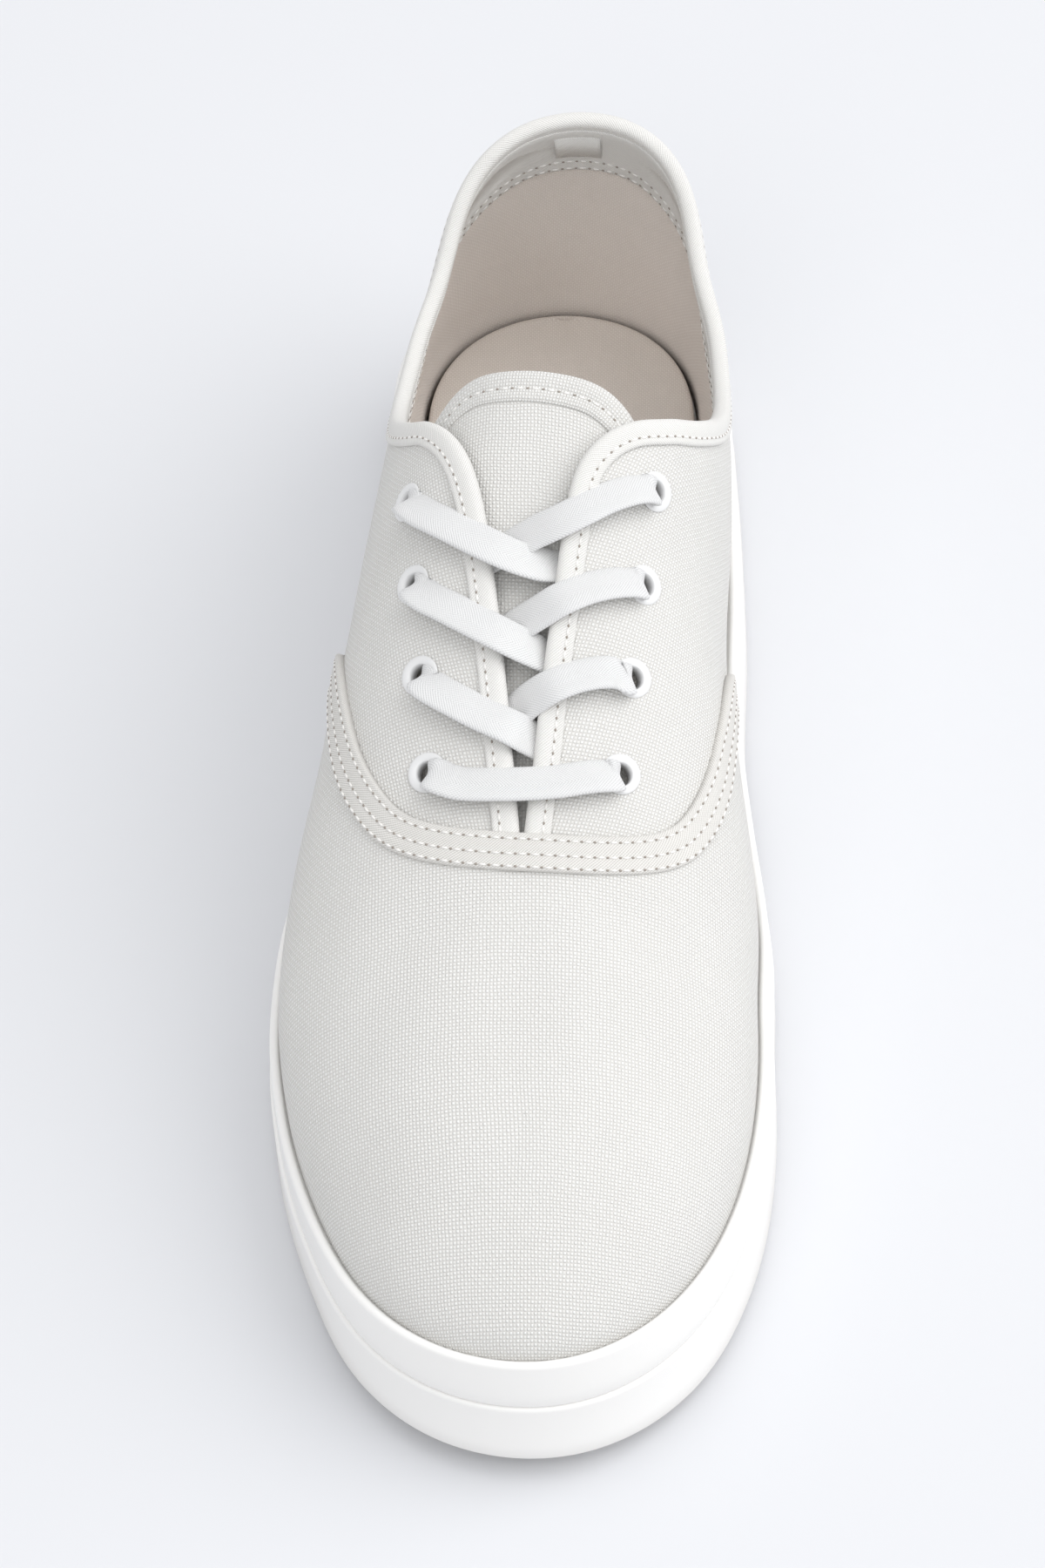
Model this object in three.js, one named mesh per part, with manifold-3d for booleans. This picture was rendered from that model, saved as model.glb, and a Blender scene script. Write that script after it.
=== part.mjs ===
// Low-cut canvas lace-up sneaker: the right shoe of a pair, standing empty on its sole.
// Millimetres, +Z up, toe towards -Y, heel towards +Y, inner side of the foot towards +X.
// The origin is on the ground, under the middle of the shoe's box.

import * as THREE from 'three';
import { mergeVertices } from 'three/addons/utils/BufferGeometryUtils.js';
import Module from 'manifold-3d';

const wasm = await Module();
wasm.setup();

// Driving sizes of the last, the form that the upper is pulled over
const lastLength = 273;
const ballWidth = 95;
const instepHeight = 100;
const toeRoundLength = 75;
const heelRoundLength = 33;
const toeAxisShift = 5;
const heelAxisShift = 2.3;

// Driving sizes of the sole
const soleHeight = 14;
const foxingHeight = 11;
const foxingThickness = 2;
const heelFoxingRise = 2.5;
const toeSpring = 5.2;
const toeSpringLength = 58;
const springCurve = 1.8;
const archLift = 1.6;
const archStart = 0.4;
const archLength = 0.22;
const lipStep = 0.7;
const edgeRound = 1.4;
const grooveDepth = 1.6;
const grooveWidth = 2.4;
const groovePitch = 9.5;
const grooveMargin = 7;
// Stretches of the sole with cross grooves, as shares of the last's length from the toe
const grooved = [
  { from: 0.07, to: 0.36 },
  { from: 0.64, to: 0.93 },
];

// Driving sizes of the upper and of what is sewn to it or rests in it. seamTilt: how much lower the
// vamp seam runs for each millimetre towards the foot's inner side. slopeShare: how much of the
// tape's width shows as height, where the seam runs along the sloping side
const wall = 1.8;
const vampLayer = 0.7;
const gap = 0.3;
const featherTuck = 1.6;
const baseLift = 9;
const tapeWidth = 7.4;
const seamTilt = 0.087;
const slopeShare = 0.66;
const tapeThickness = 0.9;
const bindingWidth = 5;
const bindingThickness = 0.8;
const insoleThickness = 4.5;
const insoleMargin = 1.8;
const tongueThickness = 2;
const tongueDrop = 2.6;
const tongueWidth = 58;
const tongueRound = 17;
const tongueReach = 10;
const tongueShoulder = 7.5;
const tongueFrontShare = 0.75;

// Driving sizes of the fastening. The throat's start and length are shares of the last's length, the
// eyelets' places are shares of the throat's length, and a crossing's drop is a share of their pitch
const throatFrontShare = 0.34066;
const throatLengthShare = 0.28022;
const throatShift = 2.7;
const eyeletRows = 4;
const eyeletFirstShare = 0.15163;
const eyeletPitchShare = 0.24052;
const laceCrossShare = 0.625;
const eyeletSpreadFront = 18.4;
const eyeletSpreadBack = 24.3;
const eyeletBore = 4.4;
const eyeletFlange = 8;
const eyeletMetal = 0.6;
const eyeletSegments = 14;
const laceWidth = 7.8;
const laceThickness = 1.3;
const laceSteps = 8;

// Sizes of the fastening that follow from them
const throatFront = throatFrontShare * lastLength;
const throatLength = throatLengthShare * lastLength;
const eyeletFirst = eyeletFirstShare * throatLength;
const eyeletPitch = eyeletPitchShare * throatLength;
const laceCrossDrop = laceCrossShare * eyeletPitch;

// Sections of the last. at: share of the last's length from the toe. outer and inner: half widths
// of the foot's outer and inner side as shares of the ball width, before the ends are rounded.
// squareOuter and squareInner: how boxy each half of the arch is. lean: how far the ridge moves
// inwards, and belly: how far the wall swells, both as shares of the ball width
const sections = [
  { at: 0.00, outer: 0.545, inner: 0.495, squareOuter: 2.0, squareInner: 2.0, lean: 0.000, belly: 0.000 },
  { at: 0.10, outer: 0.508, inner: 0.470, squareOuter: 2.0, squareInner: 2.0, lean: -0.005, belly: 0.000 },
  { at: 0.20, outer: 0.510, inner: 0.450, squareOuter: 2.1, squareInner: 2.1, lean: -0.010, belly: 0.003 },
  { at: 0.29, outer: 0.520, inner: 0.440, squareOuter: 2.1, squareInner: 2.1, lean: -0.012, belly: 0.010 },
  { at: 0.36, outer: 0.508, inner: 0.440, squareOuter: 2.1, squareInner: 2.2, lean: -0.014, belly: 0.014 },
  { at: 0.46, outer: 0.450, inner: 0.405, squareOuter: 2.3, squareInner: 2.4, lean: -0.012, belly: 0.020 },
  { at: 0.56, outer: 0.412, inner: 0.375, squareOuter: 2.4, squareInner: 2.6, lean: 0.000, belly: 0.018 },
  { at: 0.68, outer: 0.388, inner: 0.375, squareOuter: 2.5, squareInner: 2.8, lean: 0.050, belly: 0.012 },
  { at: 0.80, outer: 0.362, inner: 0.360, squareOuter: 2.1, squareInner: 2.4, lean: 0.075, belly: 0.006 },
  { at: 0.90, outer: 0.345, inner: 0.342, squareOuter: 1.8, squareInner: 1.85, lean: 0.085, belly: 0.004 },
  { at: 1.00, outer: 0.352, inner: 0.352, squareOuter: 3.0, squareInner: 3.0, lean: 0.085, belly: 0.012 },
];

// Ridge of the last from the side. height: share of the instep height. Past the flaps the ridge
// is the closed top of the form, which the collar cuts away
const ridgeLine = [
  { at: 0.00, height: 0.400 },
  { at: 0.14, height: 0.508 },
  { at: 0.22, height: 0.560 },
  { at: 0.34, height: 0.662 },
  { at: 0.49, height: 0.832 },
  { at: 0.64, height: 0.997 },
  { at: 0.73, height: 1.070 },
  { at: 0.82, height: 1.090 },
  { at: 0.90, height: 1.050 },
  { at: 1.00, height: 1.020 },
];

// Foot of the sidewall against its rim, in millimetres, for the outer and the inner side
const flares = [
  { at: 0.00, outer: 4.8, inner: 4.8 },
  { at: 0.04, outer: 3.2, inner: 3.6 },
  { at: 0.12, outer: 1.2, inner: 1.6 },
  { at: 0.30, outer: 0.8, inner: 0.2 },
  { at: 0.60, outer: 1.2, inner: 0.6 },
  { at: 1.00, outer: 1.4, inner: 1.4 },
];

// Collar seen from the side. back: share of the last's length, up: share of the instep height
const collarLine = [
  { back: 0.565, up: 1.160 },
  { back: 0.618, up: 0.968 },
  { back: 0.652, up: 0.840 },
  { back: 0.696, up: 0.725 },
  { back: 0.755, up: 0.648 },
  { back: 0.815, up: 0.622 },
  { back: 0.875, up: 0.645 },
  { back: 0.930, up: 0.725 },
  { back: 0.975, up: 0.800 },
  { back: 1.030, up: 0.840 },
];

// Throat seen from above. along: share of the throat's length from its front end.
// half: half the gap between the flaps, in millimetres
const throatLine = [
  { along: 0.00, half: 0.5 },
  { along: 0.08, half: 1.4 },
  { along: 0.28, half: 3.4 },
  { along: 0.45, half: 5.2 },
  { along: 0.65, half: 7.6 },
  { along: 0.80, half: 9.3 },
  { along: 0.90, half: 11.0 },
  { along: 0.96, half: 13.2 },
  { along: 1.00, half: 18.0 },
];

// How far the throat's edge runs on past the table, round the flap's corner, in millimetres
const flapCorner = { out: 2.5, back: 5.5 };

// Vamp seam seen from the side, over the middle of the shoe. up: share of the instep height,
// back: share of the last's length
const seamLine = [
  { up: 0.10, back: 0.585 },
  { up: 0.30, back: 0.567 },
  { up: 0.42, back: 0.550 },
  { up: 0.50, back: 0.530 },
  { up: 0.56, back: 0.494 },
  { up: 0.59, back: 0.450 },
  { up: 0.60, back: 0.413 },
  { up: 0.608, back: 0.384 },
  { up: 0.617, back: 0.359 },
  { up: 0.633, back: 0.346 },
  { up: 0.648, back: 0.339 },
  { up: 0.67, back: 0.333 },
  { up: 0.80, back: 0.330 },
];

const toeTip = -lastLength / 2;
const heelTip = lastLength / 2;

// Reads a column of a table at a place, on one smooth curve through its rows
function read(table, key, column, place) {
  let row = 0;
  while (row < table.length - 2 && place > table[row + 1][key]) {
    row += 1;
  }
  const slopeAt = (index) => {
    const before = table[Math.max(index - 1, 0)];
    const after = table[Math.min(index + 1, table.length - 1)];
    return (after[column] - before[column]) / (after[key] - before[key]);
  };
  const low = table[row];
  const high = table[row + 1];
  const span = high[key] - low[key];
  const t = THREE.MathUtils.clamp((place - low[key]) / span, 0, 1);
  const rise = t * t * (3 - 2 * t);
  const leave = t * (1 - t) * (1 - t) * span * slopeAt(row);
  const arrive = t * t * (t - 1) * span * slopeAt(row + 1);
  return low[column] + (high[column] - low[column]) * rise + leave + arrive;
}

const shareOf = (y) => (y - toeTip) / lastLength;
const placeOf = (share) => toeTip + share * lastLength;
const axisAt = (y) => THREE.MathUtils.lerp(toeAxisShift, heelAxisShift, shareOf(y));

// Toe spring, which everything above the ground follows
function lift(y) {
  const toeShare = THREE.MathUtils.clamp((toeTip + toeSpringLength - y) / toeSpringLength, 0, 1.15);
  return toeSpring * toeShare ** springCurve;
}

// Underside of the sole: flat under heel and ball, lifted at the waist and at the toe
function groundHeight(y) {
  const waist = THREE.MathUtils.clamp((shareOf(y) - archStart) / archLength, 0, 1);
  return lift(y) + archLift * Math.sin(Math.PI * waist) ** 2;
}
// The layers above follow the toe spring, not the waist's lift
const lipHeight = (y) => soleHeight + lift(y);
function rimHeight(y) {
  const heelShare = THREE.MathUtils.clamp((shareOf(y) - 0.6) / 0.4, 0, 1);
  return lipHeight(y) + foxingHeight + heelFoxingRise * heelShare * heelShare;
}
const baseHeight = (y) => lipHeight(y) + baseLift;

// A place along one side of the last's base line, from the middle of the heel (0) to the toe (1)
const heelArc = heelRoundLength * Math.PI / 2;
const toeArc = toeRoundLength * Math.PI / 2;
const straightRun = lastLength - heelRoundLength - toeRoundLength;
const wayRound = heelArc + straightRun + toeArc;
function basePoint(u, side) {
  const way = u * wayRound;
  let y;
  let fullness = 1;
  if (way < heelArc) {
    const angle = way / heelRoundLength;
    y = heelTip - heelRoundLength * (1 - Math.cos(angle));
    fullness = Math.sin(angle);
  } else if (way > heelArc + straightRun) {
    const angle = (wayRound - way) / toeRoundLength;
    y = toeTip + toeRoundLength * (1 - Math.cos(angle));
    fullness = Math.sin(angle);
  } else {
    y = heelTip - heelRoundLength - (way - heelArc);
  }
  const column = side < 0 ? 'outer' : 'inner';
  const half = read(sections, 'at', column, shareOf(y)) * ballWidth * fullness;
  return new THREE.Vector2(axisAt(y) + side * half, y);
}

// Where the section that starts at y on the base line meets the ridge: level with it along the
// waist, and held back at both ends, so that the sections fan out round toe and heel
const fanToe = { start: 58, reach: 19 };
const fanHeel = { start: 60, reach: 24 };
function ridgePlace(y) {
  const beyondToe = toeTip + fanToe.start - y;
  if (beyondToe > 0) {
    const share = Math.min(beyondToe / fanToe.start, 1);
    return toeTip + fanToe.start - fanToe.reach * (1 - (1 - share) ** (fanToe.start / fanToe.reach));
  }
  const beyondHeel = y - (heelTip - fanHeel.start);
  if (beyondHeel > 0) {
    const share = Math.min(beyondHeel / fanHeel.start, 1);
    return heelTip - fanHeel.start + fanHeel.reach * (1 - (1 - share) ** (fanHeel.start / fanHeel.reach));
  }
  return y;
}
const ridgeHeight = (y) => read(ridgeLine, 'at', 'height', shareOf(y)) * instepHeight;
function ridgeSlope(y) {
  const step = 0.5;
  return (ridgeHeight(y + step) - ridgeHeight(y - step)) / (2 * step);
}

// The last's surface. turn goes from 0 at the base line to 1 on the ridge, and from 0 down to -1
// for the tuck under the foxing
function lastPoint(u, side, turn) {
  const foot = basePoint(u, side);
  if (turn < 0) {
    const inward = outward(u, side).multiplyScalar(turn * featherTuck);
    const low = lipHeight(foot.y) + gap;
    const z = THREE.MathUtils.lerp(baseHeight(foot.y), low, -turn);
    return new THREE.Vector3(foot.x + inward.x, foot.y + inward.y, z);
  }
  const topY = ridgePlace(foot.y);
  const share = shareOf(foot.y);
  const square = read(sections, 'at', side < 0 ? 'squareOuter' : 'squareInner', share);
  const angle = turn * Math.PI / 2;
  const size = (Math.cos(angle) ** square + Math.sin(angle) ** square) ** (-1 / square);
  const out = Math.max(Math.cos(angle), 0) * size;
  const up = Math.sin(angle) * size;
  const x = axisAt(topY) + (foot.x - axisAt(topY)) * out;
  const y = topY + (foot.y - topY) * out;
  const roof = ridgeHeight(topY) + ridgeSlope(topY) * (y - topY);
  const base = baseHeight(foot.y);
  const swell = outward(u, side).multiplyScalar(
    read(sections, 'at', 'belly', share) * ballWidth * Math.sin(Math.PI * up) * out);
  const lean = read(sections, 'at', 'lean', share) * ballWidth * up;
  return new THREE.Vector3(x + swell.x + lean, y + swell.y, base + (roof - base) * up);
}

// Outward direction of the base line, seen from above
function outward(u, side) {
  const step = 0.002;
  const before = basePoint(Math.max(u - step, 0), side);
  const after = basePoint(Math.min(u + step, 1), side);
  if (u < step) {
    return new THREE.Vector2(0, 1);
  }
  if (u > 1 - step) {
    return new THREE.Vector2(0, -1);
  }
  const along = after.sub(before).normalize();
  return new THREE.Vector2(along.y * side * -1, along.x * side).normalize();
}

// Columns of the grid: shares of the way round one side
const columnCounts = { heel: 6, straight: 11, toe: 9 };
function columns(heelCount, straightCount, toeCount) {
  const shares = [];
  for (let i = 0; i < heelCount; i += 1) {
    shares.push((heelArc / wayRound) * (i / heelCount));
  }
  for (let i = 0; i < straightCount; i += 1) {
    shares.push((heelArc + straightRun * (i / straightCount)) / wayRound);
  }
  for (let i = 0; i <= toeCount; i += 1) {
    shares.push((heelArc + straightRun + toeArc * (i / toeCount)) / wayRound);
  }
  return shares;
}
const columnShares = columns(columnCounts.heel, columnCounts.straight, columnCounts.toe);
// Rows of the grid: the tuck, the base line and the turns up to the ridge
const turns = [-1, 0, 0.1, 0.21, 0.33, 0.45, 0.57, 0.69, 0.8, 0.9, 1];

// One closed loop of places round the shoe: outer side from heel to toe, inner side back
const loop = [];
columnShares.forEach((u) => loop.push({ u, side: -1 }));
columnShares.slice(1, -1).reverse().forEach((u) => loop.push({ u, side: 1 }));

// Closed mesh from stacked loops. Both ends are closed by strips from one side to the other
function meshFromLoops(loops, foldedTop = false) {
  const count = loops[0].length;
  const positions = [];
  loops.forEach((points) => points.forEach((point) => positions.push(point.x, point.y, point.z)));
  const index = [];
  for (let row = 0; row < loops.length - 1; row += 1) {
    for (let k = 0; k < count; k += 1) {
      const next = (k + 1) % count;
      const a = row * count + k;
      const b = row * count + next;
      const c = (row + 1) * count + next;
      const d = (row + 1) * count + k;
      index.push(a, b, c, a, c, d);
    }
  }
  const half = count / 2;
  const cap = (row, flip) => {
    for (let k = 0; k < half; k += 1) {
      const a = row * count + k;
      const b = row * count + k + 1;
      const c = row * count + ((count - k - 1) % count);
      const d = row * count + ((count - k) % count);
      const faces = [];
      if (k < half - 1) {
        faces.push([a, b, c]);
      }
      if (k > 0) {
        faces.push([a, c, d]);
      }
      faces.forEach((face) => index.push(...(flip ? face.reverse() : face)));
    }
  };
  cap(0, true);
  if (!foldedTop) {
    cap(loops.length - 1, false);
  }
  const geometry = new THREE.BufferGeometry();
  geometry.setAttribute('position', new THREE.Float32BufferAttribute(positions, 3));
  geometry.setIndex(index);
  return geometry;
}

// The grid of the last with its normals, worked out once
const grid = turns.map((turn) => loop.map(({ u, side }) => lastPoint(u, side, turn)));
const normals = grid.map((row, r) => row.map((point, k) => {
  const count = row.length;
  if (r === grid.length - 1) {
    return new THREE.Vector3(0, -ridgeSlope(point.y), 1).normalize();
  }
  const along = row[(k + 1) % count].clone().sub(row[(k + count - 1) % count]);
  const below = grid[Math.max(r - 1, 0)][k];
  const across = grid[r + 1][k].clone().sub(below);
  const normal = along.cross(across).normalize();
  if (r === 0) {
    normal.z = 0;
    normal.normalize();
  }
  return normal;
}));

// The last grown by a distance, or by a function of the place. Its foot goes down by drop, to
// reach through what it cuts
function form(grow, drop = 0) {
  const growAt = typeof grow === 'function' ? grow : () => grow;
  const loops = grid.map((row, r) => row.map((point, k) => {
    const moved = point.clone().addScaledVector(normals[r][k], growAt(point));
    if (r === 0) {
      moved.z = point.z - drop;
    }
    return moved;
  }));
  return solid(meshFromLoops(loops, true));
}

function solid(geometry) {
  const bare = geometry.clone();
  bare.deleteAttribute('normal');
  bare.deleteAttribute('uv');
  const merged = mergeVertices(bare, 1e-4);
  const triangles = [];
  const index = merged.getIndex().array;
  for (let i = 0; i < index.length; i += 3) {
    const [a, b, c] = [index[i], index[i + 1], index[i + 2]];
    if (a !== b && b !== c && c !== a) {
      triangles.push(a, b, c);
    }
  }
  return new wasm.Manifold(new wasm.Mesh({
    numProp: 3,
    vertProperties: Float32Array.from(merged.getAttribute('position').array),
    triVerts: Uint32Array.from(triangles),
  }));
}

// Prism of an outline in the side view (y, z), right through the shoe
function sidePrism(points) {
  const shape = new THREE.Shape(points);
  const geometry = new THREE.ExtrudeGeometry(shape, { depth: 2 * ballWidth, bevelEnabled: false });
  geometry.applyMatrix4(new THREE.Matrix4().makeBasis(
    new THREE.Vector3(0, 1, 0), new THREE.Vector3(0, 0, 1), new THREE.Vector3(1, 0, 0)));
  geometry.translate(-ballWidth, 0, 0);
  return solid(geometry);
}

// Prism of an outline in the top view (x, y), between two heights
function topPrism(points, low, high) {
  const outline = new THREE.Shape(points);
  const geometry = new THREE.ExtrudeGeometry(outline, { depth: high - low, bevelEnabled: false });
  geometry.translate(0, 0, low);
  return solid(geometry);
}

const topOfCuts = instepHeight * 1.6;
const bottomOfCuts = instepHeight * 0.4;
const throatStart = placeOf(0) + throatFront;

// Moves an open line sideways by a margin, to the right of its own direction. rise is the share of
// the margin that counts in the line's second coordinate
function shiftLine(line, margin, rise = 1) {
  return line.map((point, i) => {
    const before = line[Math.max(i - 1, 0)];
    const after = line[Math.min(i + 1, line.length - 1)];
    const along = after.clone().sub(before).normalize();
    return new THREE.Vector2(point.x + along.y * margin, point.y - along.x * margin * rise);
  });
}

// Points of a table's curve in the side view, from its first row to its last
function sideLine(table, key, steps) {
  const points = [];
  for (let i = 0; i <= steps; i += 1) {
    const place = THREE.MathUtils.lerp(table[0][key], table[table.length - 1][key], i / steps);
    const back = key === 'back' ? place : read(table, key, 'back', place);
    const up = key === 'up' ? place : read(table, key, 'up', place);
    points.push(new THREE.Vector2(placeOf(back), up * instepHeight));
  }
  return points;
}

// What is above the collar, with its edge lowered by a margin
function collarCut(margin) {
  const edge = shiftLine(sideLine(collarLine, 'back', 28), margin);
  const start = edge[0];
  const end = edge[edge.length - 1];
  return sidePrism([
    ...edge,
    new THREE.Vector2(end.x, topOfCuts),
    new THREE.Vector2(start.x, topOfCuts),
  ]);
}

// What is ahead of the vamp seam, with its edge moved back by a margin
function vampCut(margin, rise = 1) {
  const edge = shiftLine(sideLine(seamLine, 'up', 30), margin, rise);
  const start = edge[0];
  const end = edge[edge.length - 1];
  const level = sidePrism([
    new THREE.Vector2(2 * toeTip, -instepHeight),
    new THREE.Vector2(start.x, -instepHeight),
    ...edge,
    new THREE.Vector2(end.x, topOfCuts),
    new THREE.Vector2(2 * toeTip, topOfCuts),
  ]);
  return level.warp((corner) => {
    corner[2] -= seamTilt * corner[0];
  });
}

// The gap between the flaps, widened by a margin. It opens out at the back, up to the collar
function throatCut(margin) {
  const steps = 24;
  const edge = [];
  for (let i = 0; i <= steps; i += 1) {
    const along = i / steps;
    const half = read(throatLine, 'along', 'half', along);
    edge.push(new THREE.Vector2(half, throatStart + along * throatLength));
  }
  const corner = edge[steps];
  edge.push(new THREE.Vector2(corner.x + flapCorner.out, corner.y + flapCorner.back));
  const right = shiftLine(edge, margin);
  const outline = [
    ...right.map((point) => new THREE.Vector2(throatShift + point.x, point.y)),
    ...right.reverse().map((point) => new THREE.Vector2(throatShift - point.x, point.y)),
  ];
  return topPrism(outline, bottomOfCuts, topOfCuts);
}

// Point on the last's surface above a place in the top view, and the surface's normal there
function onLast(x, y) {
  const side = x < axisAt(y) + read(sections, 'at', 'lean', shareOf(y)) * ballWidth ? -1 : 1;
  const u = (heelArc + (heelTip - heelRoundLength - y)) / wayRound;
  let low = 0;
  let high = 1;
  for (let i = 0; i < 40; i += 1) {
    const middle = (low + high) / 2;
    const point = lastPoint(u, side, middle);
    if ((point.x - x) * side > 0) {
      low = middle;
    } else {
      high = middle;
    }
  }
  const turn = (low + high) / 2;
  const point = lastPoint(u, side, turn);
  const step = 0.01;
  const across = lastPoint(u, side, Math.min(turn + step, 1)).sub(lastPoint(u, side, turn - step));
  const along = lastPoint(u + step, side, turn).sub(lastPoint(u - step, side, turn));
  const normal = across.cross(along).normalize().multiplyScalar(side);
  if (normal.z < 0) {
    normal.negate();
  }
  return { point, normal };
}

// Ribbon with a flat section along a row of stations, each a centre, a side way and an up way
function ribbon(stations, width, low, high) {
  const positions = [];
  stations.forEach(({ centre, across, up }) => {
    const corners = [[-1, low], [1, low], [1, high], [-1, high]];
    corners.forEach(([sideways, height]) => {
      const corner = centre.clone()
        .addScaledVector(across, sideways * width / 2)
        .addScaledVector(up, height);
      positions.push(corner.x, corner.y, corner.z);
    });
  });
  const index = [0, 2, 1, 0, 3, 2];
  for (let i = 0; i < stations.length - 1; i += 1) {
    for (let k = 0; k < 4; k += 1) {
      const a = i * 4 + k;
      const b = i * 4 + (k + 1) % 4;
      index.push(a, b + 4, a + 4, a, b, b + 4);
    }
  }
  const end = (stations.length - 1) * 4;
  index.push(end, end + 1, end + 2, end, end + 2, end + 3);
  const geometry = new THREE.BufferGeometry();
  geometry.setAttribute('position', new THREE.Float32BufferAttribute(positions, 3));
  geometry.setIndex(index);
  return solid(geometry);
}

// Loops of the sole's side at one height above another, outside the last's base line
function soleLoop(heightAt, growAt) {
  return loop.map(({ u, side }) => {
    const foot = basePoint(u, side);
    const out = outward(u, side).multiplyScalar(growAt(foot.y, side));
    return new THREE.Vector3(foot.x + out.x, foot.y + out.y, heightAt(foot.y));
  });
}
const rimGrow = vampLayer + gap + foxingThickness;

// How far the sidewall stands out at a share of the way from the ground (0) to the rim (1)
function sideGrow(y, side, level) {
  const flare = read(flares, 'at', side < 0 ? 'outer' : 'inner', THREE.MathUtils.clamp(shareOf(y), 0, 1));
  return rimGrow + flare * (1 - level);
}
const lipLevel = soleHeight / (soleHeight + foxingHeight);

// Outsole: one slab of rubber up to the lip of its side band, with cross grooves underneath
function makeOutsole() {
  const band = (y, side, level) => sideGrow(y, side, level) + lipStep;
  const loops = [
    soleLoop(groundHeight, (y, side) => band(y, side, 0) - edgeRound),
    soleLoop((y) => groundHeight(y) + edgeRound * 0.3, (y, side) => band(y, side, 0) - edgeRound * 0.3),
    soleLoop((y) => groundHeight(y) + edgeRound, (y, side) => band(y, side, 0)),
    soleLoop((y) => lipHeight(y) - lipStep, (y, side) => band(y, side, lipLevel)),
    soleLoop(lipHeight, (y, side) => band(y, side, lipLevel) - lipStep * 0.8),
  ];
  let body = solid(meshFromLoops(loops));
  grooved.forEach(({ from, to }) => {
    const run = (to - from) * lastLength;
    const count = Math.floor(run / groovePitch);
    for (let i = 0; i <= count; i += 1) {
      const y = placeOf(from) + (i + 0.5) * (run / (count + 1));
      const u = wayOf(y);
      const left = basePoint(u, -1).x + grooveMargin;
      const right = basePoint(u, 1).x - grooveMargin;
      const top = groundHeight(y) + grooveDepth;
      const groove = new THREE.BoxGeometry(right - left, grooveWidth, soleHeight);
      groove.translate((left + right) / 2, y, top - soleHeight / 2);
      body = body.subtract(solid(groove));
    }
  });
  return body;
}

// Share of the way round one side at which the base line has the place y
function wayOf(y) {
  if (y > heelTip - heelRoundLength) {
    const rest = (y - (heelTip - heelRoundLength)) / heelRoundLength;
    return heelRoundLength * Math.acos(THREE.MathUtils.clamp(rest, 0, 1)) / wayRound;
  }
  if (y < toeTip + toeRoundLength) {
    const rest = (toeTip + toeRoundLength - y) / toeRoundLength;
    return 1 - toeRoundLength * Math.acos(THREE.MathUtils.clamp(rest, 0, 1)) / wayRound;
  }
  return (heelArc + heelTip - heelRoundLength - y) / wayRound;
}

// What the foxing wraps: the upper with its vamp layer, grown by the gap
function wrapped(drop) {
  const vamp = form(vampLayer + gap, drop).intersect(vampCut(gap));
  return form(gap, drop).add(vamp);
}

// Foxing: the upper band of the sidewall, standing on the outsole's lip
function makeFoxing() {
  const edge = foxingThickness * 0.3;
  const loops = [
    soleLoop((y) => lipHeight(y) + gap, (y, side) => sideGrow(y, side, lipLevel)),
    soleLoop((y) => rimHeight(y) - edge, (y, side) => sideGrow(y, side, 1)),
    soleLoop(rimHeight, (y, side) => sideGrow(y, side, 1) - edge),
  ];
  return solid(meshFromLoops(loops)).subtract(wrapped(soleHeight));
}

// Everything below the foxing's rim
function belowRim() {
  return solid(meshFromLoops([
    soleLoop((y) => groundHeight(y) - soleHeight, () => 4 * rimGrow),
    soleLoop((y) => rimHeight(y) + gap, () => 4 * rimGrow),
  ]));
}

// Insole: what fits inside the wall, lying on the outsole
function makeInsole() {
  const slab = solid(meshFromLoops([
    soleLoop((y) => lipHeight(y) + gap, () => 0),
    soleLoop((y) => lipHeight(y) + gap + insoleThickness, () => 0),
  ]));
  return slab.intersect(form(-wall - gap - insoleMargin, soleHeight));
}

// Places of the eyelets, front row first
const eyelets = [];
for (let row = 0; row < eyeletRows; row += 1) {
  const y = throatStart + eyeletFirst + row * eyeletPitch;
  const spread = THREE.MathUtils.lerp(eyeletSpreadFront, eyeletSpreadBack, row / (eyeletRows - 1));
  [-1, 1].forEach((side) => {
    const { point, normal } = onLast(throatShift + side * spread, y);
    eyelets.push({ row, side, point, normal });
  });
}
function standOn(geometry, { point, normal }) {
  const turn = new THREE.Quaternion().setFromUnitVectors(new THREE.Vector3(0, 1, 0), normal);
  geometry.applyQuaternion(turn);
  geometry.translate(point.x, point.y, point.z);
  return solid(geometry);
}
function eyeletHole(eyelet) {
  const radius = eyeletBore / 2 + eyeletMetal + gap;
  return standOn(new THREE.CylinderGeometry(radius, radius, 8 * wall, eyeletSegments), eyelet);
}
function makeEyelet(eyelet) {
  const bore = eyeletBore / 2;
  const barrel = bore + eyeletMetal;
  const flange = eyeletFlange / 2;
  const profile = [
    [bore, -wall - gap],
    [barrel, -wall - gap],
    [barrel, gap],
    [flange, gap],
    [flange, gap + eyeletMetal * 0.6],
    [flange - eyeletMetal * 0.6, gap + eyeletMetal],
    [bore + eyeletMetal * 0.5, gap + eyeletMetal],
    [bore, gap + eyeletMetal * 0.5],
    [bore, -wall - gap],
  ].map(([radius, height]) => new THREE.Vector2(radius, height));
  return standOn(new THREE.LatheGeometry(profile, eyeletSegments), eyelet);
}

// Upper: a hollow wall, thicker by the vamp's layer ahead of the seam, open at collar, throat,
// eyelets and underneath
function makeUpper() {
  const inside = form(-wall, soleHeight);
  const vamp = form(vampLayer).intersect(vampCut(0));
  let body = form(0).add(vamp).subtract(inside).subtract(collarCut(0)).subtract(throatCut(0));
  eyelets.forEach((eyelet) => {
    body = body.subtract(eyeletHole(eyelet));
  });
  return body;
}

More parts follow.
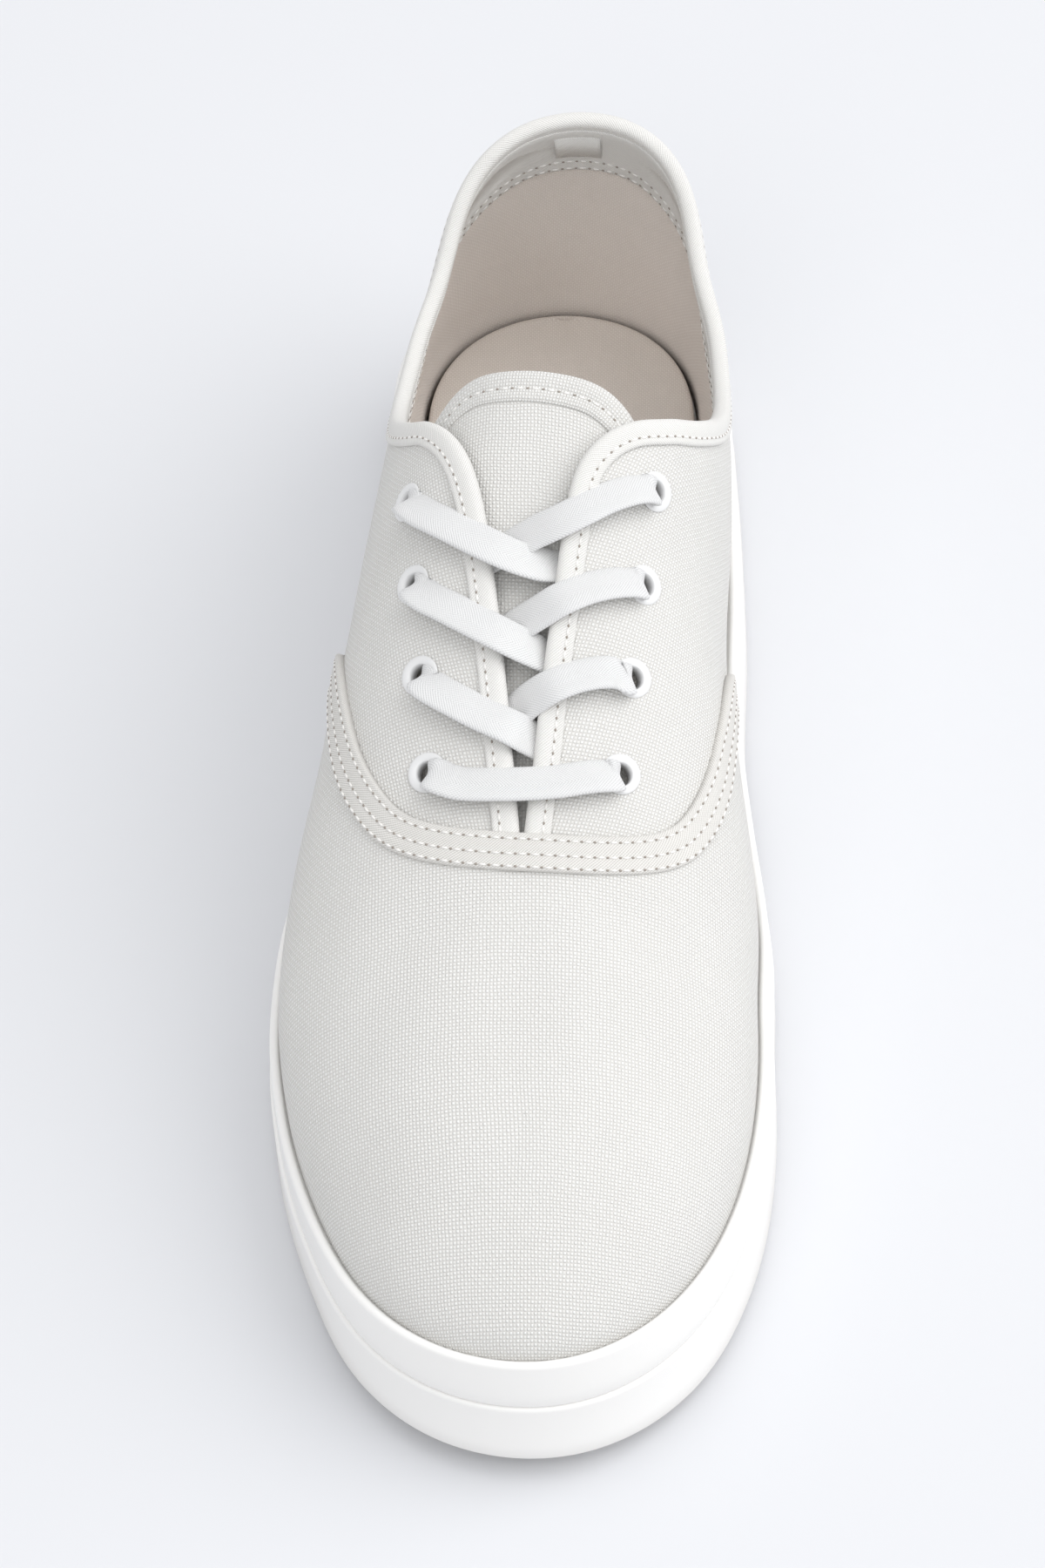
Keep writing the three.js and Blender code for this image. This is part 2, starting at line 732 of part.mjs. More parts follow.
// Tape over the vamp seam, down to the foxing on both sides
function makeTape() {
  const skin = form(vampLayer + gap + tapeThickness).subtract(form(vampLayer + gap));
  return skin.intersect(vampCut(0)).subtract(vampCut(-tapeWidth, slopeShare)).subtract(belowRim());
}

// Binding round the collar and down both edges of the throat, to the vamp tape
function makeBinding() {
  const skin = form(gap + bindingThickness).subtract(form(gap));
  const region = collarCut(bindingWidth).add(throatCut(bindingWidth));
  return skin.intersect(region).subtract(collarCut(0)).subtract(throatCut(0)).subtract(vampCut(gap));
}

// Tongue: hangs under the flaps by its drop and comes up against the vamp at its front end
function makeTongue() {
  const front = throatStart - tongueReach;
  const drop = (point) => {
    const t = THREE.MathUtils.clamp((point.y - front) / (2 * tongueReach), 0, 1);
    return THREE.MathUtils.lerp(gap, tongueDrop, t * t * (3 - 2 * t));
  };
  const skin = form((point) => -wall - drop(point))
    .subtract(form((point) => -wall - drop(point) - tongueThickness, soleHeight));
  const half = tongueWidth / 2;
  const frontHalf = half * tongueFrontShare;
  const shoulder = throatStart + throatLength - tongueShoulder;
  const outline = [
    new THREE.Vector2(throatShift - frontHalf, front),
    new THREE.Vector2(throatShift + frontHalf, front),
  ];
  const steps = 14;
  for (let i = 0; i <= steps; i += 1) {
    const angle = Math.PI * i / steps;
    outline.push(new THREE.Vector2(
      throatShift + half * Math.cos(angle), shoulder + tongueRound * Math.sin(angle)));
  }
  return skin.intersect(topPrism(outline, bottomOfCuts, topOfCuts));
}

// Lace: stations along a way over the last. Each stop is a place (x, y) and a height over it
function laceStations(stops, steps) {
  const places = new THREE.CatmullRomCurve3(stops.map(([x, y, height]) => new THREE.Vector3(x, y, height)));
  const points = places.getPoints(steps).map((place) => {
    const { point, normal } = onLast(place.x, place.y);
    return { centre: point.addScaledVector(normal, place.z), up: normal };
  });
  return points.map(({ centre, up }, i) => {
    const before = points[Math.max(i - 1, 0)].centre;
    const after = points[Math.min(i + 1, points.length - 1)].centre;
    const along = after.clone().sub(before).normalize();
    const across = new THREE.Vector3().crossVectors(up, along).normalize();
    return { centre, across, up: new THREE.Vector3().crossVectors(along, across) };
  });
}
const onTop = gap + Math.max(bindingThickness, eyeletMetal) + gap + laceThickness / 2;
const eyeletAt = (row, side) => eyelets.find((eyelet) => eyelet.row === row && eyelet.side === side).point;
const throatHalf = (y) => read(throatLine, 'along', 'half', (y - throatStart) / throatLength);

function makeBar() {
  const left = eyeletAt(0, -1);
  const right = eyeletAt(0, 1);
  const stops = [[left.x, left.y, onTop], [throatShift, left.y, onTop], [right.x, right.y, onTop]];
  return ribbon(laceStations(stops, laceSteps), laceWidth, -laceThickness / 2, laceThickness / 2);
}

// The flaps with their binding, grown by the gap: what a strip of lace has to stay out of
function flapSpace() {
  const thick = form(gap + bindingThickness + gap / 2).subtract(form(-wall - gap, soleHeight));
  return thick.subtract(throatCut(-gap));
}

// Half a crossing from its eyelet. drop: share of the strip's drop towards the toe. rise: height
// over the last, as a share of what lifts the strip over the flap
const crossingRun = {
  edge: { drop: 0.42, rise: 1 },
  middle: { drop: 0.75, rise: 0.35 },
  end: { drop: 1, rise: -0.4 },
};

// One crossing: the outer side's strip lies over the inner side's, each ends in the gap
function makeCrossing(row) {
  const strips = [-1, 1].map((side) => {
    const start = eyeletAt(row, side);
    const { edge, middle, end } = crossingRun;
    const endY = start.y - laceCrossDrop;
    const reach = throatHalf(endY) - gap;
    const under = side < 0 ? 0 : -laceThickness * 0.9;
    const stops = [
      [start.x, start.y, onTop],
      [
        throatShift + side * (throatHalf(start.y) + bindingWidth * 0.4),
        start.y - laceCrossDrop * edge.drop,
        onTop * edge.rise,
      ],
      [throatShift, start.y - laceCrossDrop * middle.drop, onTop * middle.rise + under],
      [throatShift - side * reach, endY, wall * end.rise + under],
    ];
    return ribbon(laceStations(stops, laceSteps), laceWidth, -laceThickness / 2, laceThickness / 2);
  });
  return strips[0].add(strips[1]).subtract(flapSpace());
}

function geometryOf(body) {
  const mesh = body.getMesh();
  const stride = mesh.numProp;
  const count = mesh.vertProperties.length / stride;
  const positions = new Float32Array(count * 3);
  for (let i = 0; i < count; i += 1) {
    positions.set(mesh.vertProperties.subarray(i * stride, i * stride + 3), i * 3);
  }
  const geometry = new THREE.BufferGeometry();
  geometry.setAttribute('position', new THREE.BufferAttribute(positions, 3));
  geometry.setIndex(Array.from(mesh.triVerts));
  return geometry;
}

const shoe = new THREE.Group();
shoe.name = 'sneaker';
function add(name, body, colour, roughness, metalness = 0) {
  const material = new THREE.MeshStandardMaterial({ color: colour, roughness, metalness });
  const mesh = new THREE.Mesh(geometryOf(body), material);
  mesh.name = name;
  shoe.add(mesh);
}
const canvas = 0xf1f0ee;
const rubber = 0xf4f3f1;
add('outsole', makeOutsole(), rubber, 0.55);
add('foxing', makeFoxing(), rubber, 0.5);
add('insole', makeInsole(), 0xd9d4cd, 0.95);
add('upper', makeUpper(), canvas, 0.9);
add('vamp_tape', makeTape(), canvas, 0.9);
add('binding', makeBinding(), canvas, 0.9);
add('tongue', makeTongue(), canvas, 0.9);
const sideNames = { '-1': 'outer', 1: 'inner' };
eyelets.forEach((eyelet) => {
  add(`eyelet_${sideNames[eyelet.side]}_${eyelet.row + 1}`, makeEyelet(eyelet), 0xf3f3f3, 0.35, 0.2);
});
add('lace_bar', makeBar(), 0xf6f6f5, 0.85);
for (let row = 1; row < eyeletRows; row += 1) {
  add(`lace_crossing_${row}`, makeCrossing(row), 0xf6f6f5, 0.85);
}

// The box's middle goes over the origin and its underside on the ground
const box = new THREE.Box3().setFromObject(shoe);
const middle = box.getCenter(new THREE.Vector3());
shoe.position.set(-middle.x, -middle.y, -box.min.z);

export default shoe;
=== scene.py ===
# %% [markdown]
# A canvas sneaker, the right shoe of a pair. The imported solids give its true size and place. This
# script dresses them: every surface of cloth and rubber is made again, finer and smoother, round
# the same last, which is the wooden form that a shoe is pulled over.

# %% Load the frame
import math

import bmesh
import bpy
import numpy as np
from mathutils import Matrix, Vector


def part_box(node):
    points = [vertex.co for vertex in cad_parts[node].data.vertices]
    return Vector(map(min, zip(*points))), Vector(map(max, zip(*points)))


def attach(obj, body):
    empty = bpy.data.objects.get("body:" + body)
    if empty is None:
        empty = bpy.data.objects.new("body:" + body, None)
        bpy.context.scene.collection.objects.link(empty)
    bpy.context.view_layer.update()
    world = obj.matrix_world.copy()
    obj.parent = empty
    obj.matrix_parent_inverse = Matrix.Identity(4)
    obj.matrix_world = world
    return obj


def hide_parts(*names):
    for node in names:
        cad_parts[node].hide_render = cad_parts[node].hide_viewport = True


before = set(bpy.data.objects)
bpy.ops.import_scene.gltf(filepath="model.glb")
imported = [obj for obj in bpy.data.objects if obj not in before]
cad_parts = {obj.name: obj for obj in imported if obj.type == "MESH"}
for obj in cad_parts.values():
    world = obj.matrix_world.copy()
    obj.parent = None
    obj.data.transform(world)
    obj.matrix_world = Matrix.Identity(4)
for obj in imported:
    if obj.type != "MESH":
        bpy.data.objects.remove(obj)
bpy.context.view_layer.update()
MM = 0.001

# %% [markdown]
# The last is described as a shoemaker would: its length, the ball's width and the instep's
# height, and then how the form changes from toe (0) to heel (1). All lengths are in millimetres
# here, and become metres when a mesh is made.

# %% Sizes of the last
last_length, ball_width, instep_height = 273.0, 95.0, 100.0
toe_round, heel_round = 75.0, 33.0
toe_axis_shift, heel_axis_shift = 5.0, 2.3
sole_height, foxing_height, foxing_thickness, heel_foxing_rise = 14.0, 11.0, 2.0, 2.5
toe_spring, spring_length, spring_curve = 5.2, 58.0, 1.8
arch_lift, arch_start, arch_length = 1.6, 0.4, 0.22
wall, vamp_layer, gap, feather_tuck, base_lift = 1.8, 0.7, 0.3, 1.6, 9.0
insole_thickness, insole_margin = 4.5, 1.8


def table(names, *rows):
    """Rows of numbers under named columns."""
    return dict(zip(names.split(), np.array(rows, float).T))


# Half widths are shares of the ball's width. square: how boxy each half of the arch is. lean: how
# far the ridge moves inwards. belly: how far the wall swells
sections = table(
    "at outer inner square_outer square_inner lean belly",
    (0.00, 0.545, 0.495, 2.0, 2.0, 0.000, 0.000),
    (0.10, 0.508, 0.470, 2.0, 2.0, -0.005, 0.000),
    (0.20, 0.510, 0.450, 2.1, 2.1, -0.010, 0.003),
    (0.29, 0.520, 0.440, 2.1, 2.1, -0.012, 0.010),
    (0.36, 0.508, 0.440, 2.1, 2.2, -0.014, 0.014),
    (0.46, 0.450, 0.405, 2.3, 2.4, -0.012, 0.020),
    (0.56, 0.412, 0.375, 2.4, 2.6, 0.000, 0.018),
    (0.68, 0.388, 0.375, 2.5, 2.8, 0.050, 0.012),
    (0.80, 0.362, 0.360, 2.1, 2.4, 0.075, 0.006),
    (0.90, 0.345, 0.342, 1.8, 1.85, 0.085, 0.004),
    (1.00, 0.352, 0.352, 3.0, 3.0, 0.085, 0.012),
)
ridge_line = table(
    "at height",
    (0.00, 0.400), (0.14, 0.508), (0.22, 0.560), (0.34, 0.662), (0.49, 0.832),
    (0.64, 0.997), (0.73, 1.070), (0.82, 1.090), (0.90, 1.050), (1.00, 1.020),
)
flares = table(
    "at outer inner",
    (0.00, 4.8, 4.8), (0.04, 3.2, 3.6), (0.12, 1.2, 1.6), (0.30, 0.8, 0.2), (0.60, 1.2, 0.6),
    (1.00, 1.4, 1.4),
)
collar_line = table(
    "back up",
    (0.565, 1.160), (0.618, 0.968), (0.652, 0.840), (0.696, 0.725), (0.755, 0.648),
    (0.815, 0.622), (0.875, 0.645), (0.930, 0.725), (0.975, 0.800), (1.030, 0.840),
)
# Half of the gap between the flaps' raw edges, on each side, by the way back from the throat's front
throat_line = table(
    "back outer inner",
    (-4.0, 0.9, 0.9), (0.0, 1.35, 1.35), (6.0, 2.0, 2.0), (13.5, 2.9, 2.9), (22.5, 3.9, 3.7),
    (32.0, 5.1, 4.8), (42.0, 6.5, 6.1), (52.0, 8.1, 7.3), (60.0, 9.7, 8.5), (66.0, 11.5, 10.1),
    (70.0, 13.1, 12.6), (73.5, 15.0, 16.1), (76.5, 17.0, 20.4), (79.5, 19.4, 25.6), (84.0, 23.0, 30.4),
)
seam_line = table(
    "up back",
    (0.10, 0.585), (0.30, 0.567), (0.42, 0.550), (0.50, 0.530), (0.56, 0.494), (0.59, 0.450),
    (0.60, 0.413), (0.608, 0.384), (0.617, 0.359), (0.633, 0.346), (0.648, 0.339), (0.67, 0.333),
    (0.80, 0.330),
)

# %% [markdown]
# One smooth curve through the rows of a table gives any value in between. The surface of the last
# is then a function of two numbers: the way round the foot, from the middle of the heel along the
# outer side to the toe (0 to 1) and back along the inner side (1 to 2), and the turn up the side,
# from the sole (0) to the ridge (1).

# %% The last as a function
def smooth(rows, key, name, place):
    """The value of a column at a place, on a smooth curve through the table's rows."""
    x, y = rows[key], rows[name]
    slope = np.empty_like(y)
    slope[1:-1] = (y[2:] - y[:-2]) / (x[2:] - x[:-2])
    slope[0], slope[-1] = (y[1] - y[0]) / (x[1] - x[0]), (y[-1] - y[-2]) / (x[-1] - x[-2])
    place = np.clip(place, x[0], x[-1])
    row = np.clip(np.searchsorted(x, place, side="left") - 1, 0, len(x) - 2)
    span = x[row + 1] - x[row]
    t = (place - x[row]) / span
    rise = t * t * (3 - 2 * t)
    leave = t * (1 - t) ** 2 * span * slope[row]
    arrive = t * t * (t - 1) * span * slope[row + 1]
    return y[row] + (y[row + 1] - y[row]) * rise + leave + arrive


def by_side(rows, key, side, names, place):
    """The same for a pair of columns: the first for the outer side, the second for the inner."""
    outer, inner = (smooth(rows, key, name, place) for name in names)
    return np.where(side < 0, outer, inner)


toe_tip, heel_tip = -last_length / 2, last_length / 2
heel_arc, toe_arc = heel_round * math.pi / 2, toe_round * math.pi / 2
straight_run = last_length - heel_round - toe_round
way_round = heel_arc + straight_run + toe_arc


def share_of(y):
    return (y - toe_tip) / last_length


def place_of(share):
    return toe_tip + share * last_length


def axis_at(y):
    return toe_axis_shift + (heel_axis_shift - toe_axis_shift) * share_of(y)


def lift(y):
    toe_share = np.clip((toe_tip + spring_length - y) / spring_length, 0, 1.15)
    return toe_spring * toe_share ** spring_curve


def ground_height(y):
    waist = np.clip((share_of(y) - arch_start) / arch_length, 0, 1)
    return lift(y) + arch_lift * np.sin(np.pi * waist) ** 2


def lip_height(y):
    return sole_height + lift(y)


def rim_height(y):
    heel_share = np.clip((share_of(y) - 0.6) / 0.4, 0, 1)
    return lip_height(y) + foxing_height + heel_foxing_rise * heel_share ** 2


def base_height(y):
    return lip_height(y) + base_lift


def way_of(y):
    """Way round the outer side at which the base line has the place y."""
    y = np.asarray(y, float)
    heel = np.arccos(np.clip((y - heel_tip + heel_round) / heel_round, 0, 1))
    toe = np.arccos(np.clip((toe_tip + toe_round - y) / toe_round, 0, 1))
    way = np.where(y > heel_tip - heel_round, heel_arc - heel_round * (np.pi / 2 - heel),
                   heel_arc + heel_tip - heel_round - y)
    way = np.where(y < toe_tip + toe_round, way_round - toe_round * toe, way)
    return way / way_round


def base_line(s):
    """Place of the base line at the way s, and the side: -1 outer, 1 inner."""
    s = np.mod(s, 2.0)
    side = np.where(s <= 1, -1.0, 1.0)
    way = np.where(s <= 1, s, 2 - s) * way_round
    heel = np.clip(way / heel_round, 0, np.pi / 2)
    toe = np.clip((way_round - way) / toe_round, 0, np.pi / 2)
    in_heel, in_toe = way < heel_arc, way > heel_arc + straight_run
    y = np.where(in_heel, heel_tip - heel_round * (1 - np.cos(heel)),
                 np.where(in_toe, toe_tip + toe_round * (1 - np.cos(toe)),
                          heel_tip - heel_round - (way - heel_arc)))
    fullness = np.where(in_heel, np.sin(heel), np.where(in_toe, np.sin(toe), 1.0))
    at = share_of(y)
    half = by_side(sections, "at", side, ("outer", "inner"), at)
    return axis_at(y) + side * half * ball_width * fullness, y, side


def outward(s):
    """Outward direction of the base line, seen from above."""
    step = 0.002
    before_x, before_y, _ = base_line(s - step)
    after_x, after_y, _ = base_line(s + step)
    x, y = after_y - before_y, before_x - after_x
    length = np.hypot(x, y)
    return x / length, y / length


# Length of the toe and of the heel whose sections fan out, and the length of ridge that they reach
toe_fan, toe_crest, heel_fan, heel_crest = 58.0, 19.0, 60.0, 24.0


def ridge_place(y):
    """Where the section that starts at y meets the ridge: sections fan out round toe and heel."""
    toe_start, heel_start = toe_tip + toe_fan, heel_tip - heel_fan
    share = np.clip((toe_start - y) / toe_fan, 0, 1)
    toe = toe_start - toe_crest * (1 - (1 - share) ** (toe_fan / toe_crest))
    share = np.clip((y - heel_start) / heel_fan, 0, 1)
    heel = heel_start + heel_crest * (1 - (1 - share) ** (heel_fan / heel_crest))
    return np.where(y < toe_start, toe, np.where(y > heel_start, heel, y))


def ridge_height(y):
    return smooth(ridge_line, "at", "height", share_of(y)) * instep_height


def ridge_slope(y):
    return ridge_height(y + 0.5) - ridge_height(y - 0.5)


def last(s, turn):
    """Points of the last. Below 0 the turn tucks in under the sidewall; past 1 it crosses the ridge."""
    s, turn = np.broadcast_arrays(np.asarray(s, float), np.asarray(turn, float))
    s, turn = np.where(turn > 1, 2 - s, s), np.where(turn > 1, 2 - turn, turn)
    foot_x, foot_y, side = base_line(s)
    out_x, out_y = outward(s)
    top_y, at = ridge_place(foot_y), share_of(foot_y)
    square = by_side(sections, "at", side, ("square_outer", "square_inner"), at)
    angle = np.clip(turn, 0, 1) * np.pi / 2
    across, rise = np.maximum(np.cos(angle), 0), np.sin(angle)
    size = (across ** square + rise ** square) ** (-1 / square)
    across, rise = across * size, rise * size
    axis = axis_at(top_y)
    x = axis + (foot_x - axis) * across
    y = top_y + (foot_y - top_y) * across
    roof = ridge_height(top_y) + ridge_slope(top_y) * (y - top_y)
    base = base_height(foot_y)
    swell = smooth(sections, "at", "belly", at) * ball_width * np.sin(np.pi * rise) * across
    lean = smooth(sections, "at", "lean", at) * ball_width * rise
    tuck = np.clip(-turn, 0, 1)
    x = x + swell * out_x + lean - tuck * feather_tuck * out_x
    y = y + swell * out_y - tuck * feather_tuck * out_y
    z = base + (roof - base) * rise - tuck * (base_lift - gap)
    return np.stack([x, y, z], -1)


def unit(vectors):
    return vectors / np.maximum(np.linalg.norm(vectors, axis=-1, keepdims=True), 1e-12)


def length_along(line):
    """How far each point of a line is from its start."""
    return np.concatenate([[0], np.cumsum(np.linalg.norm(np.diff(line, axis=0), axis=-1))])


def steady(line, count, mode="edge"):
    """A line with each point moved to the mean of the points round it."""
    extra = {"reflect_type": "odd"} if mode == "reflect" else {}
    padded = np.pad(line, ((count // 2, count // 2), (0, 0)), mode=mode, **extra)
    kernel = np.ones(count) / count
    return np.array([np.convolve(column, kernel, mode="valid") for column in padded.T]).T


def normal(s, turn):
    """Direction straight out of the last. Near the ridge both sides share the crest's."""
    s, turn = np.broadcast_arrays(np.asarray(s, float), np.asarray(turn, float))
    along = last(s + 0.0015, turn) - last(s - 0.0015, turn)
    across = last(s, turn + 0.004) - last(s, turn - 0.004)
    found = unit(np.cross(along, across))
    point = last(s, turn)
    slope = ridge_slope(point[..., 1])
    crest = unit(np.stack([0 * slope, -slope, 1 + 0 * slope], -1))
    near = np.clip((turn - 0.975) / 0.025, 0, 1)[..., None]
    return unit(found * (1 - near) + crest * near)


def skin(s, turn, height):
    """Points at a height over the last."""
    return last(s, turn) + normal(s, turn) * np.asarray(height, float)[..., None]

# %% [markdown]
# The solids' box is centred over the origin, so the last's own places are moved by the same
# amount. The sole is the widest and longest piece, and gives that move.

# %% From the last's places to the frame's
lip_step, edge_round, lip_level = 0.7, 1.4, sole_height / (sole_height + foxing_height)
rim_grow = vamp_layer + gap + foxing_thickness


def side_grow(s, level):
    """How far the sidewall stands out from the base line, from the ground (0) to the rim (1)."""
    _, y, side = base_line(s)
    flare = by_side(flares, "at", side, ("outer", "inner"), np.clip(share_of(y), 0, 1))
    return rim_grow + flare * (1 - level)


def sole_ring(s, height, grow):
    """A line round the sole, at a height, and grown outwards from the base line."""
    x, y, _ = base_line(s)
    out_x, out_y = outward(s)
    return np.stack([x + out_x * grow, y + out_y * grow, height], -1)


ring = np.linspace(0, 2, 2001)
foot_print = sole_ring(ring, ground_height(base_line(ring)[1]), side_grow(ring, 0) + lip_step)
sole_low, sole_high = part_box("outsole")
shift = np.array([
    (sole_low.x + sole_high.x) / 2 / MM - (foot_print[:, 0].min() + foot_print[:, 0].max()) / 2,
    (sole_low.y + sole_high.y) / 2 / MM - (foot_print[:, 1].min() + foot_print[:, 1].max()) / 2,
    0.0,
])
print("the last is moved by", shift.round(2), "mm")

# %% [markdown]
# The camera comes first. It stands where the photographer stood, high in front of the toe, and
# turns to the one shoe with a longer lens.

# %% Camera
# The eye is in millimetres. The aim is in the photograph's pixels, away from its middle
eye = np.array([59.4, -528.3, 728.1])
pitch = math.radians(53.02)
photo_focal, photo_height, photo_zoom = 3171.0, 1800.0, 1.58
aim_right, aim_down = -219.7, 5.5
forward0 = np.array([0, math.cos(pitch), -math.sin(pitch)])
up0 = np.array([0, math.sin(pitch), math.cos(pitch)])
aside = np.array([aim_right / photo_focal, 0, 0]) - up0 * aim_down / photo_focal
forward = unit(forward0 + aside)
right = unit(np.cross(forward, up0))
up = np.cross(right, forward)
camera = bpy.data.objects.new("camera", bpy.data.cameras.new("camera"))
bpy.context.scene.collection.objects.link(camera)
camera.matrix_world = Matrix.Translation(Vector(eye * MM)) @ Matrix(
    [[right[i], up[i], -forward[i]] for i in range(3)]).to_4x4()
camera.data.sensor_width = 36
camera.data.lens = 36 * photo_focal / photo_height * photo_zoom
camera.data.clip_start, camera.data.clip_end = 0.05, 20
bpy.context.scene.camera = camera
print("lens", round(camera.data.lens, 1), "mm")

# %% [markdown]
# Colours are written as the eye reads them, in sRGB hex, and turned to the linear values that a
# shader needs. Every material is a small tree of nodes. One function adds a node with its settings
# and links, so that a material reads from top to bottom.

# %% Colour and node helpers
def linear(colour):
    """sRGB hex to the linear values of a shader."""
    values = [int(colour[i:i + 2], 16) / 255 for i in (0, 2, 4)]
    return [v / 12.92 if v <= 0.04045 else ((v + 0.055) / 1.055) ** 2.4 for v in values] + [1.0]


def add(tree, kind, inputs=None, **settings):
    """Adds a node. An input is a value, a node's output, or a node, which gives its first output."""
    node = tree.nodes.new(kind)
    for name, value in settings.items():
        setattr(node, name, value)
    for socket, source in (inputs or {}).items():
        if isinstance(source, bpy.types.Node):
            source = source.outputs[0]
        if isinstance(source, bpy.types.NodeSocket):
            tree.links.new(source, node.inputs[socket])
        else:
            node.inputs[socket].default_value = source
    return node


def new_material(name, roughness, colour, specular):
    """A material of one colour, with its tree and its shader."""
    material = bpy.data.materials.new(name)
    material.use_nodes = True
    tree = material.node_tree
    shader = tree.nodes["Principled BSDF"]
    shader.inputs["Roughness"].default_value = roughness
    shader.inputs["Base Color"].default_value = linear(colour)
    shader.inputs["Specular IOR Level"].default_value = specular
    material.diffuse_color = linear(colour)
    return material, tree, shader

# %% [markdown]
# Cotton duck is a plain weave: each thread goes over one and under the next. Seen from a step
# away it is a field of small bumps about 1.4 mm apart. Two sine waves, one for each set of threads,
# make the bumps by their product: the heavier weft stands high where it crosses over, and the warp
# stands lower. Twill tape and the flat braid of the lace are made of slanting ribs instead. The
# patterns run on the piece's own UV map, which is in millimetres of cloth, because a pattern in
# space would cut across the folds.

# %% Woven cloth
def thread_counts(tree, pitch):
    """The cloth's two directions, counted in threads, with a slow wander of the threads."""
    place = add(tree, "ShaderNodeUVMap", uv_map="cloth")
    scaled = add(tree, "ShaderNodeMapping", {"Vector": place, "Scale": (1 / pitch, 1 / pitch, 1)})
    wobble = add(tree, "ShaderNodeTexNoise", {"Vector": scaled, "Scale": 0.11, "Detail": 2.0})
    moved = add(tree, "ShaderNodeVectorMath", {0: wobble.outputs["Color"], 1: (0.9, 0.9, 0)},
                operation="MULTIPLY")
    place = add(tree, "ShaderNodeVectorMath", {0: scaled, 1: moved}, operation="ADD")
    parts = add(tree, "ShaderNodeSeparateXYZ", {0: place})
    return parts.outputs[0], parts.outputs[1]


def wave(tree, count):
    """A sine that swings once in two threads."""
    angle = add(tree, "ShaderNodeMath", {0: count, 1: math.pi}, operation="MULTIPLY")
    return add(tree, "ShaderNodeMath", {0: angle}, operation="SINE")


def plain_weave(tree, pitch):
    x, y = thread_counts(tree, pitch)
    cross = add(tree, "ShaderNodeMath", {0: wave(tree, x), 1: wave(tree, y)}, operation="MULTIPLY")
    weft = add(tree, "ShaderNodeMath", {0: cross, 1: -1.0}, operation="MULTIPLY")
    warp = add(tree, "ShaderNodeMath", {0: cross, 1: 0.4}, operation="MULTIPLY")
    bumps = add(tree, "ShaderNodeMath", {0: weft, 1: warp}, operation="MAXIMUM")
    return add(tree, "ShaderNodeMath", {0: bumps, 1: 0.75}, operation="POWER")


def slanting_ribs(tree, x, y, strength):
    """Ribs on both slants of two counts. strength: the share of the first slant."""
    found = []
    for slant, share in (("ADD", strength), ("SUBTRACT", 1 - strength)):
        count = add(tree, "ShaderNodeMath", {0: x, 1: y}, operation=slant)
        rib = add(tree, "ShaderNodeMath", {0: wave(tree, count)}, operation="ABSOLUTE")
        found.append(add(tree, "ShaderNodeMath", {0: rib, 1: share}, operation="MULTIPLY"))
    return add(tree, "ShaderNodeMath", {0: found[0], 1: found[1]}, operation="ADD")


def twill(tree, pitch):
    """Twill tape: fine ribs, mostly on one slant."""
    return slanting_ribs(tree, *thread_counts(tree, pitch), 0.75)


def herringbone(tree, pitch, width):
    """A flat braid: ribs slant one way on one half and the other way on the other."""
    x, y = thread_counts(tree, pitch)
    centre = add(tree, "ShaderNodeMath", {0: y, 1: width / pitch}, operation="PINGPONG")
    return slanting_ribs(tree, x, centre, 0.65)


def cloth_material(name, thread, shade, weave, depth, slub=0.10, sheen=0.12):
    """thread: colour on top of the threads. shade: painted shade between them. depth: relief in mm."""
    material, tree, shader = new_material(name, 0.92, thread, 0.25)
    shader.inputs["Sheen Weight"].default_value = sheen
    shader.inputs["Sheen Roughness"].default_value = 0.5
    level = weave(tree)
    place = add(tree, "ShaderNodeTexCoord").outputs["Object"]
    for scale, detail, amount in ((1400.0, 2.0, slub * 2), (55.0, 3.0, slub)):
        noise = add(tree, "ShaderNodeTexNoise", {"Vector": place, "Scale": scale, "Detail": detail})
        centred = add(tree, "ShaderNodeMath", {0: noise.outputs["Fac"], 1: 0.5},
                      operation="SUBTRACT")
        uneven = add(tree, "ShaderNodeMath", {0: centred, 1: amount}, operation="MULTIPLY")
        level = add(tree, "ShaderNodeMath", {0: level, 1: uneven}, operation="ADD")
    soft = add(tree, "ShaderNodeMapRange", {"Value": level, "From Min": 0.15, "From Max": 0.85})
    # The weave's height mixes the painted shade of the gaps with the threads' colour on their tops
    colour = add(tree, "ShaderNodeMix", {
        "Factor": soft, 6: linear(shade), 7: linear(thread)}, data_type="RGBA")
    tree.links.new(colour.outputs[2], shader.inputs["Base Color"])
    bump = add(tree, "ShaderNodeBump", {"Height": level, "Strength": 0.8, "Distance": depth * MM})
    tree.links.new(bump.outputs[0], shader.inputs["Normal"])
    return material


# Bleached duck: heavy and matt, in threads 0.7 mm apart, with painted shade in the gaps between them
duck = cloth_material("bleached_cotton_duck", "f3f3f1", "dad8d4",
                      lambda tree: plain_weave(tree, 0.70), 0.30, slub=0.16)
# Twill tape and binding: smoother and tighter. These ribs, as those of the lace and the threads of
# the thin cloths below, are drawn coarser than they are, so that they show
# The tape is painted darker than the binding, which is the same cotton, as painted shade of its stitched
# rows
tape_twill = cloth_material("cotton_twill_tape_painted_shade", "e6e4e0", "d1cec9",
                            lambda tree: twill(tree, 0.60), 0.16)
binding_twill = cloth_material("bleached_cotton_binding", "edece9", "dcdad6",
                               lambda tree: twill(tree, 0.60), 0.14)
# Braided lace: the whitest cloth, with a soft sheen
braid = cloth_material("braided_cotton_lace", "e7e7e7", "d3d3d3",
                       lambda tree: herringbone(tree, 0.62, 3.45), 0.14, slub=0.08, sheen=0.2)
